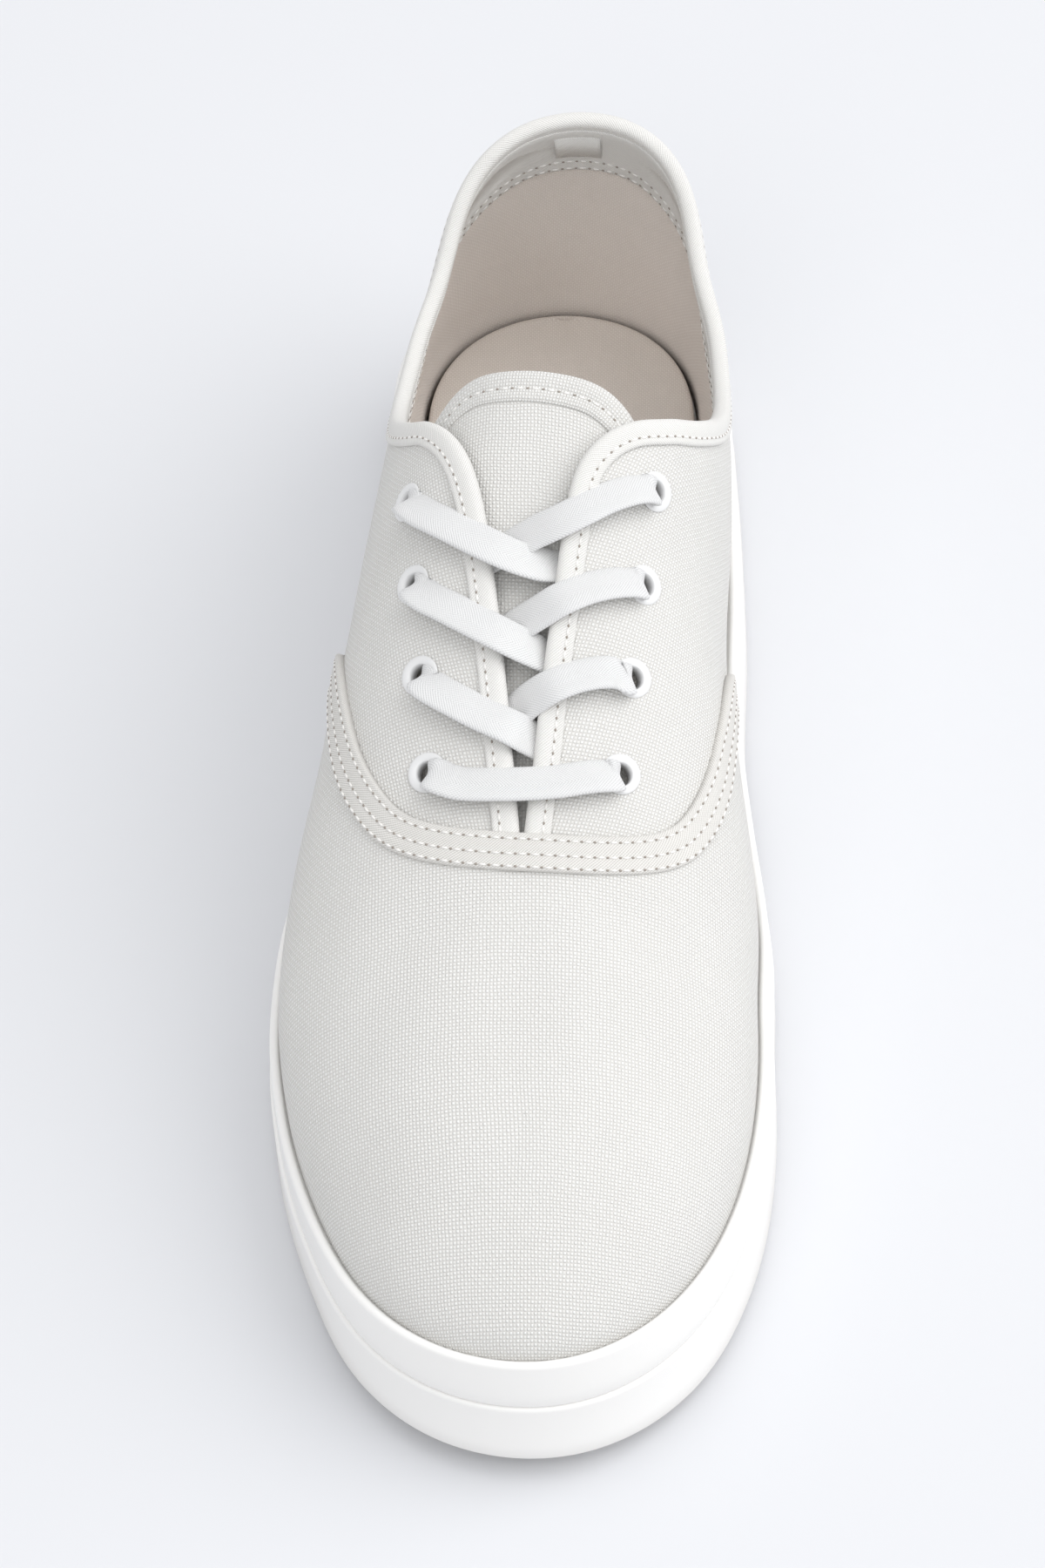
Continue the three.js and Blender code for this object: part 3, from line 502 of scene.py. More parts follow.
# Unbleached lining and brushed insole: warmer, almost flat
# The lining is painted as light as the bleached canvas: painted light for the dim inside of the shoe
lining_cloth = cloth_material("unbleached_cotton_lining_painted_light", "f8f2ed", "e9e1da",
                              lambda tree: plain_weave(tree, 0.50), 0.12)
insole_cloth = cloth_material("brushed_cotton_insole", "efe8e1", "dcd3cb",
                              lambda tree: plain_weave(tree, 0.46), 0.10, slub=0.12)
# Waxed thread has a faint gloss. A needle's hole is a dull warm shadow
thread_cotton, _, _ = new_material("waxed_sewing_thread", 0.7, "f3f1ee", 0.3)
needle_hole, _, _ = new_material("needle_hole_shadow", 1.0, "a39b93", 0.1)

# %% [markdown]
# The sole is vulcanised rubber: moulded smooth, with a soft satin gloss, very slightly uneven
# where the strip was rolled on by hand. Noise in two sizes gives that: slow clouds in colour and
# gloss, and a fine grain in the bump. The eyelets are brass under white enamel, which is glossier.

# %% Rubber and enamel
def rubber_material(name, colour, low_colour):
    """Satin rubber. low_colour: at the ground, darker, and fading out over the lowest 10 mm."""
    material, tree, shader = new_material(name, 0.42, colour, 0.45)
    place = add(tree, "ShaderNodeTexCoord").outputs["Object"]
    height = add(tree, "ShaderNodeSeparateXYZ", {0: place}).outputs[2]
    cloud = add(tree, "ShaderNodeTexNoise", {
        "Vector": place, "Scale": 40.0, "Detail": 4.0}).outputs["Fac"]
    fade = add(tree, "ShaderNodeMapRange", {"Value": height, "From Min": 0.0, "From Max": 0.010})
    mottle = add(tree, "ShaderNodeMath", {0: cloud, 1: 0.25}, operation="MULTIPLY")
    mixed = add(tree, "ShaderNodeMath", {0: fade, 1: mottle}, operation="ADD")
    colour_mix = add(tree, "ShaderNodeMix", {
        "Factor": mixed, 6: linear(low_colour), 7: linear(colour)}, data_type="RGBA")
    tree.links.new(colour_mix.outputs[2], shader.inputs["Base Color"])
    rough = add(tree, "ShaderNodeMapRange", {"Value": cloud, "To Min": 0.36, "To Max": 0.52})
    tree.links.new(rough.outputs[0], shader.inputs["Roughness"])
    fine = add(tree, "ShaderNodeTexNoise", {"Vector": place, "Scale": 900.0, "Detail": 3.0})
    bump = add(tree, "ShaderNodeBump", {
        "Height": fine.outputs["Fac"], "Strength": 0.35, "Distance": 0.05 * MM})
    tree.links.new(bump.outputs[0], shader.inputs["Normal"])
    return material


rubber = rubber_material("vulcanised_white_rubber", "f6f5f3", "e6e3df")
tread_rubber = rubber_material("moulded_tread_rubber", "eae7e2", "d8d3cc")
enamel, _, enamel_shader = new_material("white_enamelled_brass", 0.36, "e6e6e6", 0.4)
enamel_shader.inputs["Coat Weight"].default_value = 0.3

# %% [markdown]
# Most pieces of a shoe are sheets. A sheet starts as a flat grid, and each of its points is then
# carried to its place on the last, as the cloth is. Rows that meet round the foot are merged.

# %% Mesh helpers
def add_grid(mesh, points, material_index=0):
    """Adds a grid to a mesh and carries it to its points, in the last's millimetres."""
    rows, columns = points.shape[:2]
    made = bmesh.ops.create_grid(mesh, x_segments=columns - 1, y_segments=rows - 1, size=1)
    for vertex, place in zip(made["verts"], ((points + shift) * MM).reshape(-1, 3)):
        vertex.co = place
    for face in {face for vertex in made["verts"] for face in vertex.link_faces}:
        face.material_index = material_index


def lay_cloth(mesh, places):
    """The UV map of the weave. places: where each vertex is on the cloth, in millimetres."""
    layer = mesh.loops.layers.uv.new("cloth")
    for face in mesh.faces:
        for corner in face.loops:
            corner[layer].uv = places[corner.vert.index]


def close_seams(mesh, reach):
    """Merges vertices within a reach in metres, and drops the faces that this leaves without area."""
    bmesh.ops.remove_doubles(mesh, verts=mesh.verts, dist=reach)
    bmesh.ops.dissolve_degenerate(mesh, edges=mesh.edges, dist=1e-7)


def finish(name, mesh, materials, replaces=()):
    """Makes the piece's object, hangs it under the root body, and hides the solids that it stands for.
    """
    for face in mesh.faces:
        face.smooth = True
    data = bpy.data.meshes.new(name)
    mesh.to_mesh(data)
    mesh.free()
    for material in (materials if isinstance(materials, list) else [materials]):
        data.materials.append(material)
    piece = bpy.data.objects.new(name, data)
    bpy.context.scene.collection.objects.link(piece)
    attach(piece, "root")
    if replaces:
        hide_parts(*replaces)
    print(name, len(data.polygons), "faces")
    return piece


def grid_piece(name, points, material, cloth=None, closed=False, replaces=()):
    """points: rows x columns x 3 in the last's millimetres. cloth: the same, x 2, for the weave."""
    grid = bmesh.new()
    add_grid(grid, points)
    grid.verts.index_update()
    if cloth is not None:
        lay_cloth(grid, cloth.reshape(-1, 2))
    close_seams(grid, 2e-6)
    if closed:
        bmesh.ops.recalc_face_normals(grid, faces=grid.faces)
    return finish(name, grid, material, replaces)


def thicken(piece, thickness, **settings):
    """Gives a sheet a wall on its inner side. thickness: in millimetres."""
    wall_maker = piece.modifiers.new("wall", "SOLIDIFY")
    wall_maker.thickness, wall_maker.offset = thickness * MM, -1
    for name, value in settings.items():
        setattr(wall_maker, name, value)


def spread(low, high, count):
    return np.linspace(low, high, count)

# %% [markdown]
# The sole is one slab of rubber. Every ring round it has its points at the same stations. They are
# closer together at the edges of the tread's grooves, so that the grooves come out crisp without
# a fine mesh everywhere. Nobody sees the tread while the shoe stands, so it stays plain.

# %% Stations round the sole
groove_width, groove_depth, groove_margin, groove_pitch, groove_slope = 2.4, 1.6, 7.0, 9.5, 0.12
grooved = ((0.07, 0.36), (0.64, 0.93))


def thin_out(places, least):
    """Places in order, none closer to the next than the least gap."""
    places = np.unique(np.round(places, 6))
    return places[np.concatenate([[True], np.diff(places) > least])]


def all_round(half):
    """The outer side's ways, and the same back along the inner side."""
    return np.concatenate([half, 2 - half[-2::-1]])


groove_places = []
for start, end in grooved:
    run = (end - start) * last_length
    count = math.floor(run / groove_pitch)
    groove_places += [place_of(start) + (i + 0.5) * run / (count + 1) for i in range(count + 1)]
groove_edges = [place + side * groove_width / 2 + slope for place in groove_places
                for side in (-1, 1) for slope in (-groove_slope, groove_slope)]
stations = thin_out(np.concatenate([spread(0, 1, 260), way_of(groove_edges)]), 1.5e-4)
sole_s = all_round(stations)
print(len(groove_places), "grooves and", len(sole_s), "stations round the sole")

# %% [markdown]
# The outsole is moulded rubber: a slab with rounded edges, a side that leans up and back, most at
# the toe, and a lip on top for the strip above. It could be a box that is sculpted, but a maker
# draws the outline and the side's profile, so the script does too: rings round the foot, one above
# the other, closed by a sheet above and by the grooved tread below.

# %% Outsole
sole_y = base_line(sole_s)[1]
ground, lip, rim = ground_height(sole_y), lip_height(sole_y), rim_height(sole_y)
# How far up from the ground, then from the lip, and how far back from the side's widest line
bottom_edge = ((0.0, 1.5), (0.06, 1.0), (0.3, 0.5), (0.75, 0.15), (edge_round, 0.0))
lip_edge = ((-1.0, 0.0), (-0.55, 0.05), (-0.2, 0.22), (-0.02, 0.5), (0.0, 0.8), (0.0, 3.2))
rings = [sole_ring(sole_s, ground + up, side_grow(sole_s, 0) + lip_step - back)
         for up, back in bottom_edge]
for share in (0.25, 0.5, 0.75):
    hollow = 0.12 * math.sin(math.pi * share)
    height = ground + edge_round + (lip - ground - edge_round - 1.0) * share
    rings.append(sole_ring(sole_s, height, side_grow(sole_s, share * lip_level) + lip_step - hollow))
rings += [sole_ring(sole_s, lip + up, side_grow(sole_s, lip_level) + lip_step - back)
          for up, back in lip_edge]
side_points = np.array(rings)
# Shares of the sole's width at which the tread has a row of points, and where a groove ends
tread_shares = (0, 0.05, 0.095, 0.1, 0.3, 0.5, 0.7, 0.9, 0.905, 0.95, 1.0)
groove_end = 0.1


def tread_points(left, right):
    """The underside: strips from the outer to the inner edge, with grooves cut across."""
    width = np.linalg.norm(right - left, axis=-1)
    margin = np.clip((groove_margin + rim_grow) / np.maximum(width, 1e-6), 0, 0.5)
    rows = []
    for share in tread_shares:
        if share < groove_end:
            cut = share / groove_end * margin
        elif share > 1 - groove_end:
            cut = 1 - (1 - share) / groove_end * margin
        else:
            cut = margin + (share - groove_end) / (1 - 2 * groove_end) * (1 - 2 * margin)
        point = left + (right - left) * cut[:, None]
        y = point[:, 1]
        point[:, 2] = ground_height(y)
        if groove_end <= share <= 1 - groove_end:
            away = np.abs(y[:, None] - np.array(groove_places)).min(1)
            deep = np.clip((groove_width / 2 + groove_slope - away) / (2 * groove_slope), 0, 1)
            point[:, 2] += groove_depth * deep
        rows.append(point)
    return np.array(rows)


def halves(line):
    """The outer and the inner half of a line round the sole, both from heel to toe."""
    return line[:len(stations)], line[len(stations) - 1:][::-1]


sole_mesh = bmesh.new()
add_grid(sole_mesh, side_points)
add_grid(sole_mesh, tread_points(*halves(side_points[0])), 1)
add_grid(sole_mesh, np.array(halves(side_points[-1])[::-1]))
close_seams(sole_mesh, 4e-6)
bmesh.ops.recalc_face_normals(sole_mesh, faces=sole_mesh.faces)
finish("outsole_rubber", sole_mesh, [rubber, tread_rubber], ["outsole"])

# %% [markdown]
# Foxing is a strip of soft rubber that is wrapped round the foot of the upper and baked on. It
# stands on the outsole's lip. Its section is drawn once, with a slight bulge and a rolled top, and
# carried round the foot ring by ring, so that the strip follows the last as the real one does.

# %% Foxing
strip_inside, strip_foot, strip_top = 0.35, side_grow(sole_s, lip_level), side_grow(sole_s, 1)
roll = 0.95
rings = [sole_ring(sole_s, lip + up, grow) for up, grow in (
    (0.06, strip_inside), (0.06, strip_foot - 0.45), (0.25, strip_foot - 0.12), (0.7, strip_foot))]
for share in (0.3, 0.6, 0.9):
    bulge = 0.10 * math.sin(math.pi * share)
    level = lip_level + (1 - lip_level) * share
    rings.append(sole_ring(sole_s, lip + 0.7 + (rim - lip - 1.7) * share,
                           side_grow(sole_s, level) + bulge))
for turn in np.radians(spread(0, 180, 9)):
    rings.append(sole_ring(sole_s, rim - roll + roll * math.sin(turn),
                           strip_top - roll + roll * math.cos(turn)))
rings += [sole_ring(sole_s, rim - 1.6, strip_inside), rings[0]]
grid_piece("foxing_band", np.array(rings), rubber, replaces=["foxing"])

# %% [markdown]
# The insole is a thin foam board under brushed cotton. It lies inside the wall, slightly dished in
# the middle, and a dark line shows where it meets the lining. It's made like the outsole, from
# rings for its edge and two sheets, so its outline follows the same last.

# %% Insole
inset = wall + gap + insole_margin
board_top = insole_thickness + gap
# How far up from the lip, and how far in from the board's edge
board_edge = ((0.3, 0.0), (board_top - 1.6, 0.0), (board_top - 0.8, 0.15), (board_top - 0.25, 0.6),
              (board_top, 1.5))
board = np.array([sole_ring(sole_s, lip + up, -inset - back) for up, back in board_edge])


def board_face(edge_line, dish, rows):
    """One face of the board, in strips from the outer to the inner edge, dished in the middle."""
    left, right = halves(edge_line)
    share = spread(0, 1, rows)[:, None, None]
    points = left[None] + (right - left)[None] * share
    points[..., 2] -= dish * np.sin(np.pi * share[..., 0]) ** 2
    return points


insole_mesh = bmesh.new()
add_grid(insole_mesh, board)
add_grid(insole_mesh, board_face(board[-1], 0.9, 15)[::-1])
add_grid(insole_mesh, board_face(board[0], 0.0, 2))
close_seams(insole_mesh, 4e-6)
bmesh.ops.recalc_face_normals(insole_mesh, faces=insole_mesh.faces)
insole_mesh.verts.index_update()
lay_cloth(insole_mesh, [vertex.co.xy / MM for vertex in insole_mesh.verts])
finish("insole_board", insole_mesh, insole_cloth, ["insole"])

# %% [markdown]
# The upper is cut open at the collar and at the throat. For each way round the foot, the turn at
# which the cloth ends is found by halving: the collar is a line in the side view, and the throat a
# line in the top view, as on a shoemaker's pattern.

# %% Edge of the upper
throat_start, throat_length, throat_shift = toe_tip + 93.0, 76.5, 2.7


def collar_height(y):
    """Height of the cut collar in the side view. Ahead of the collar it's out of reach."""
    height = smooth(collar_line, "back", "up", share_of(y)) * instep_height
    return np.where(y < place_of(collar_line["back"][0]), 1e3, height)


def throat_half(y, side):
    """Half of the throat's gap on one side, below 0 where there's no throat."""
    back = y - throat_start
    half = by_side(throat_line, "back", side, ("outer", "inner"), back)
    return np.where((back < throat_line["back"][0]) | (y > place_of(0.72)), -1.0, half)


def cut_depth(points):
    """Above 0 where the cloth is cut away."""
    x, y, z = np.moveaxis(points, -1, 0)
    side = np.where(x < throat_shift, -1, 1)
    return np.maximum(z - collar_height(y), throat_half(y, side) - np.abs(x - throat_shift))


def edge_turn(s):
    """The turn at which the cloth ends, or 1 where it reaches the ridge."""
    trial = spread(0.05, 1.0, 240)
    cut = cut_depth(last(s[:, None], trial[None])) > 0
    first = np.where(cut.any(1), cut.argmax(1), len(trial) - 1)
    low, high = trial[np.maximum(first - 1, 0)], trial[first]
    for _ in range(24):
        middle = (low + high) / 2
        inside = cut_depth(last(s, middle)) > 0
        low, high = np.where(inside, low, middle), np.where(inside, middle, high)
    return np.where(cut.any(1), low, 1.0)


def seam_depth(points):
    """Distance ahead of the vamp seam in the side view, in millimetres."""
    up = spread(seam_line["up"][0], seam_line["up"][-1], 260)
    line = np.stack([place_of(smooth(seam_line, "up", "back", up)), up * instep_height], -1)
    flat = points.reshape(-1, 3)
    here = np.stack([flat[:, 1], flat[:, 2] + seam_tilt * flat[:, 0]], -1)
    near = np.empty(len(here))
    for start in range(0, len(here), 4000):
        part = here[start:start + 4000]
        gaps = part[:, None] - line[None]
        nearest = np.argmin((gaps ** 2).sum(-1), 1)
        way = line[np.minimum(nearest + 1, len(line) - 1)] - line[np.maximum(nearest - 1, 0)]
        away = gaps[np.arange(len(part)), nearest]
        sign = np.sign(way[:, 0] * away[:, 1] - way[:, 1] * away[:, 0])
        near[start:start + 4000] = np.linalg.norm(away, axis=1) * sign
    return near.reshape(points.shape[:-1])


seam_tilt = 0.087
flap_top = way_of(np.array([throat_start + throat_length]))[0]
throat_front = way_of(np.array([throat_start + throat_line["back"][0]]))[0]
half_ring = [spread(0, 1, 250), spread(flap_top - 0.03, flap_top + 0.04, 40),
             spread(throat_front - 0.01, throat_front + 0.012, 16)]
upper_s = all_round(thin_out(np.concatenate(half_ring), 4e-4))


def soften(s, turn, reach):
    """Rounds the corners of an edge given by way and turn, over a reach in millimetres."""
    run, step = length_along(last(s, turn)), 0.4
    at = spread(0, run[-1], int(run[-1] / step))
    half = int(3 * reach / step)
    kernel = np.exp(-0.5 * (np.arange(-half, half + 1) * step / reach) ** 2)
    kernel /= kernel.sum()
    found = []
    for values in (s, turn):
        padded = np.pad(np.interp(at, run, values), half, mode="reflect", reflect_type="odd")
        found.append(np.convolve(padded, kernel, mode="valid"))
    return found


edge_t, corner_round = edge_turn(upper_s), 1.6
for cut in (upper_s <= throat_front, upper_s >= 2 - throat_front):
    edge_t[cut] = np.interp(upper_s[cut], *soften(upper_s[cut], edge_t[cut], corner_round))
print("columns of the upper", len(upper_s))

# %% [markdown]
# The eyelets stand in two rows of four beside the throat, a little farther apart at the back. A
# place that is known in the top view is carried down to the last.

# %% Places seen from above
def over(x, y):
    """Way and turn of the last's point above a place in the top view."""
    x, y = np.broadcast_arrays(np.asarray(x, float), np.asarray(y, float))
    lean = smooth(sections, "at", "lean", share_of(y)) * ball_width
    outer = x < axis_at(y) + lean
    s = way_of(y)
    s = np.where(outer, s, 2 - s)
    side = np.where(outer, -1.0, 1.0)
    low, high = np.zeros(x.shape), np.ones(x.shape)
    for _ in range(34):
        middle = (low + high) / 2
        outside = (last(s, middle)[..., 0] - x) * side > 0
        low, high = np.where(outside, middle, low), np.where(outside, high, middle)
    return s, (low + high) / 2


eyelet_rows, eyelet_first, eyelet_pitch = 4, 11.6, 18.4
spread_front, spread_back = 18.4, 24.3
eyelet_centres, eyelet_ups = {}, {}
for row in range(eyelet_rows):
    y = throat_start + eyelet_first + row * eyelet_pitch
    half = spread_front + (spread_back - spread_front) * row / (eyelet_rows - 1)
    for side in (-1, 1):
        s, turn = over(np.array([throat_shift + side * half]), np.array([y]))
        eyelet_centres[row, side] = last(s, turn)[0]
        eyelet_ups[row, side] = normal(s, turn)[0]
print("places of", len(eyelet_centres), "eyelets")

# %% [markdown]
# Canvas that has been pulled over a last and worn a little isn't dead smooth. A few soft troughs
# run where a foot bends, and the whole skin has a slow unevenness of a quarter of a millimetre.

# %% Relief of the canvas
# across and along: where a trough's middle is, in millimetres. turn: its direction in degrees.
# deep, long and wide: its size
troughs = table(
    "across along turn deep long wide",
    (4.0, -84.0, 88.0, 0.45, 30.0, 7.0),
    (-19.0, -62.0, 20.0, 0.40, 20.0, 5.5),
    (24.0, -60.0, -24.0, 0.40, 18.0, 5.0),
    (-30.0, -84.0, 55.0, 0.30, 22.0, 6.0),
    (31.0, -88.0, -55.0, 0.30, 20.0, 6.0),
)


def relief(points):
    """Height of the canvas over a dead smooth one, in millimetres."""
    x, y, z = np.moveaxis(points, -1, 0)
    total = 0.10 * np.sin(x / 7.3 + 1.1 * np.sin(y / 17.0)) * np.sin(y / 11.9 + 0.6)
    total += 0.07 * np.sin(x / 4.1 - y / 9.7 + z / 6.0)
    total += 0.08 * np.sin(z / 5.2 + y / 21.0) * np.sin(y / 8.3)
    for i in range(len(troughs["deep"])):
        turn = math.radians(troughs["turn"][i])
        dx, dy = x - troughs["across"][i], y - troughs["along"][i]
        along = (dx * math.cos(turn) + dy * math.sin(turn)) / troughs["long"][i]
        across = (dy * math.cos(turn) - dx * math.sin(turn)) / troughs["wide"][i]
        total -= troughs["deep"][i] * np.exp(-along ** 2 - across ** 2)
    return total

# %% [markdown]
# The upper is one sheet of canvas, with a second layer ahead of the seam and a cloth lining inside.
# It could be sewn from flat panels, but the last already holds its finished form, so a grid runs
# from the sole up to the cut edge. Holes for the eyelets are cut in it, and a Solidify modifier
# gives it its wall, with the lining's cloth on the inner face.

# %% Upper
rows = np.concatenate([[-1.0, -0.5], spread(0, 1, 62)])
turn_grid = np.where(rows[:, None] < 0, rows[:, None], rows[:, None] * edge_t[None])
s_grid = np.broadcast_to(upper_s[None], turn_grid.shape)
bare = last(s_grid, turn_grid)
ahead = seam_depth(bare)
step = np.clip((ahead - 1.0) / 1.5, 0, 1)
free = np.clip((rows[:, None] - 0.02) * 8, 0, 1)
height = vamp_layer * step * step * (3 - 2 * step) + relief(bare) * free
canvas_points = bare + normal(s_grid, turn_grid) * height[..., None]

# Length of cloth up each section, and back from the ridge
fine = spread(0, 1, 120)
whole = last(upper_s[None], fine[:, None])
climb = np.concatenate([np.zeros((1, len(upper_s))),
                        np.cumsum(np.linalg.norm(np.diff(whole, axis=0), axis=-1), 0)])
climbed = np.array([np.interp(turn_grid[:, k], fine, climb[:, k]) for k in range(len(upper_s))]).T
climbed = np.where(turn_grid < 0, turn_grid * base_lift, climbed)
from_ridge = climb[-1][None] - climbed
foot_x, foot_y, _ = base_line(upper_s)
crest = whole[-1]
spoke = unit(np.stack([foot_x - crest[:, 0], foot_y - crest[:, 1]], -1))
crest_y = np.sort(np.unique(np.round(crest[:, 1], 4)))
crest_run = length_along(np.stack([crest_y, ridge_height(crest_y)], -1))
crest_v = np.interp(crest[:, 1], crest_y, crest_run)
# On the vamp the threads run straight over the toe, and on the quarters they run up from the sole
vamp_x = spoke[None, :, 0] * from_ridge
vamp_y = crest_v[None] + spoke[None, :, 1] * from_ridge
flat_vamp = np.stack([vamp_x, vamp_y], -1).reshape(-1, 2)
quarter_x = np.broadcast_to(upper_s[None] * way_round, climbed.shape)
flat_quarter = np.stack([quarter_x, climbed], -1).reshape(-1, 2)
flat_ahead = ahead.ravel()
canvas = bmesh.new()
add_grid(canvas, canvas_points)
canvas.verts.index_update()
layer = canvas.loops.layers.uv.new("cloth")
for face in canvas.faces:
    on_vamp = sum(flat_ahead[v.index] for v in face.verts) / len(face.verts) > 1.5
    source = flat_vamp if on_vamp else flat_quarter
    for corner in face.loops:
        corner[layer].uv = source[corner.vert.index]
close_seams(canvas, 4e-6)


def punch(sheet, centres, radius):
    """Cuts round holes through a sheet: it's made finer round each, and the faces inside go."""
    places = [Vector((centre + shift) * MM) for centre in centres]

    def near(point, reach):
        return any((point - place).length < reach * MM for place in places)

    for reach, cuts in ((4.6, 2), (3.4, 1)):
        edges = [edge for edge in sheet.edges
                 if near((edge.verts[0].co + edge.verts[1].co) / 2, reach)]
        bmesh.ops.subdivide_edges(sheet, edges=edges, cuts=cuts, use_grid_fill=True)
    inside = [face for face in sheet.faces if near(face.calc_center_median(), radius)]
    bmesh.ops.delete(sheet, geom=inside, context="FACES")


punch(canvas, list(eyelet_centres.values()), 2.5)
upper = finish("canvas_upper", canvas, [duck, lining_cloth], ["upper"])
thicken(upper, wall, material_offset=1, material_offset_rim=1)

# %% [markdown]
# Tapes and bindings are strips that follow a line on the last. A strip is made from its section,
# a few points given by how far they lie from the line and how high above the canvas. To place
# them, the script walks over the surface away from the line, a millimetre at a time.

# %% Walking over the last
def walk(s, turn, direction, distance, steps=8):
    """Moves points over the surface along a direction in space, by a distance in millimetres."""
    s, turn = np.array(s, float), np.array(turn, float)
    distance = np.broadcast_to(np.asarray(distance, float), s.shape)
    for _ in range(steps):
        by_s = (last(s + 0.0005, turn) - last(s - 0.0005, turn)) / 0.001
        by_t = (last(s, turn + 0.001) - last(s, turn - 0.001)) / 0.002
        flat = unit(np.cross(by_s, by_t))
        wanted = unit(direction - (direction * flat).sum(-1, keepdims=True) * flat)
        wanted = wanted * (distance / steps)[..., None]
        a, b, c = (by_s ** 2).sum(-1), (by_s * by_t).sum(-1), (by_t ** 2).sum(-1)
        d, e = (wanted * by_s).sum(-1), (wanted * by_t).sum(-1)
        scale = a * c - b * b
        s, turn = s + (d * c - e * b) / scale, turn + (e * a - d * b) / scale
    return s, turn


def pick(line, run, at):
    """Points of a line at given lengths along it."""
    return np.array([np.interp(at, run, column) for column in line.T]).T


def even(line, pitch):
    """A line's points spread again at one pitch, with the length along it."""
    run = length_along(line)
    at = spread(0, run[-1], max(int(round(run[-1] / pitch)), 2) + 1)
    return at, pick(line, run, at)


def pointed(rows):
    """Closes both ends of a strip by a column of points that all lie in one place."""
    start, end = (np.repeat(column.mean(0, keepdims=True), len(rows), 0)
                  for column in (rows[:, :1], rows[:, -1:]))
    return np.concatenate([start, rows, end], 1)


def strip(name, s, turn, run, sideways, section, material, replaces=(), extra=0.0):
    """A closed strip. sideways: direction over the surface. section: (distance, height) points."""
    section = list(section) + [section[0]]
    around = length_along(np.array(section))
    rows = []
    for distance, height in section:
        moved = walk(s, turn, sideways, distance)
        rows.append(skin(*moved, height + extra + 0 * s))
    points = np.array(rows)
    cloth = np.stack([np.broadcast_to(run[None], points.shape[:2]),
                      np.broadcast_to(around[:, None], points.shape[:2])], -1)
    cloth = np.concatenate([cloth[:, :1], cloth, cloth[:, -1:]], 1)
    grid_piece(name, pointed(points), material, cloth, True, replaces)

# %% [markdown]
# Machine stitches are small sausages of thread, each pulled into the cloth at both ends, where
# the needle's hole shows as a dark dot. A stitch is one stretched icosphere, copied along a line.

# %% Stitches
stitch_size, hole_size = (1.7, 0.5, 0.42), (0.72, 0.54, 0.32)


def bead(mesh, centre, axes, size, material_index):
    """A small ball stretched along its three axes. size: its length along each, in millimetres."""
    turned = Matrix([[axis[k] for axis in axes] for k in range(3)]).to_4x4()
    stretched = Matrix.Diagonal([length / 2 * MM for length in size] + [1])
    placed = Matrix.Translation(Vector((centre + shift) * MM))
    made = bmesh.ops.create_icosphere(mesh, subdivisions=1, radius=1,
                                      matrix=placed @ turned @ stretched)
    for face in {face for vertex in made["verts"] for face in vertex.link_faces}:
        face.material_index = material_index


def stitches(name, s, turn, sideways, distance, height, pitch):
    """A row of stitches on a line that lies a distance beside a strip's own line."""
    moved_s, moved_t = walk(s, turn, sideways, distance)
    line, ups = skin(moved_s, moved_t, height + 0 * moved_s), normal(moved_s, moved_t)
    run = length_along(line)
    count = int(run[-1] / pitch)
    made = bmesh.new()
    for i in range(count):
        at = (i + 0.5) * run[-1] / count
        upright = unit(pick(ups, run, at))
        along = unit(pick(line, run, at + 0.6) - pick(line, run, at - 0.6))
        axes = (along, np.cross(upright, along), upright)
        bead(made, pick(line, run, at), axes, stitch_size, 0)
        if i < count - 1:
            bead(made, pick(line, run, at + pitch / 2) - upright * 0.02, axes, hole_size, 1)
    finish(name, made, [thread_cotton, needle_hole])

# %% [markdown]
# The vamp, the front part of the upper, is sewn under the quarters. A twill tape with three rows
# of stitches covers that seam: a U across the top, down both sides to the sole. The seam is drawn
# in the side view, found on the last on both sides, and joined over the ridge. The tape's section
# dips under each row of stitches, as the thread pulls it in.

# %% Vamp tape
tape_width, tape_thickness = 7.4, 0.9


def seam_curve(side):
    """The seam on one side, from the sole's rim up to the ridge, as way and turn."""
    ups = spread(seam_line["up"][0], seam_line["up"][-1], 400)
    ys = place_of(smooth(seam_line, "up", "back", ups))
    s = way_of(ys) if side < 0 else 2 - way_of(ys)
    low, high = np.zeros(len(s)), np.ones(len(s))
    for _ in range(30):
        middle = (low + high) / 2
        point = last(s, middle)
        below = point[:, 2] + seam_tilt * point[:, 0] < ups * instep_height
        low, high = np.where(below, middle, low), np.where(below, high, middle)
    keep = (low < 0.999) & (low > 0.001)
    s, turn = s[keep], low[keep]
    point = last(s, turn)
    keep = point[:, 2] > rim_height(point[:, 1]) - 1.5
    return s[keep], turn[keep]


outer_s, outer_t = seam_curve(-1)
inner_s, inner_t = seam_curve(1)
across_s = np.concatenate([outer_s, [(outer_s[-1] + (2 - inner_s[-1])) / 2], inner_s[::-1]])
across_t = np.concatenate([outer_t, [1.0], inner_t[::-1]])
line = last(across_s, across_t)
run = length_along(line)
fine_line = steady(pick(line, run, spread(0, run[-1], int(run[-1] / 0.9))), 9, "reflect")


def settle(points, s, turn):
    """Way and turn of the surface points nearest to points in space, from a first guess."""
    s, turn = np.array(s, float), np.array(turn, float)
    for _ in range(12):
        by_s = (last(s + 0.0005, turn) - last(s - 0.0005, turn)) / 0.001
        by_t = (last(s, turn + 0.001) - last(s, turn - 0.001)) / 0.002
        miss = points - last(s, turn)
        a, b, c = (by_s ** 2).sum(-1), (by_s * by_t).sum(-1), (by_t ** 2).sum(-1)
        d, e = (miss * by_s).sum(-1), (miss * by_t).sum(-1)
        scale = np.maximum(a * c - b * b, 1e-9)
        s, turn = s + 0.9 * (d * c - e * b) / scale, turn + 0.9 * (e * a - d * b) / scale
    return s, turn


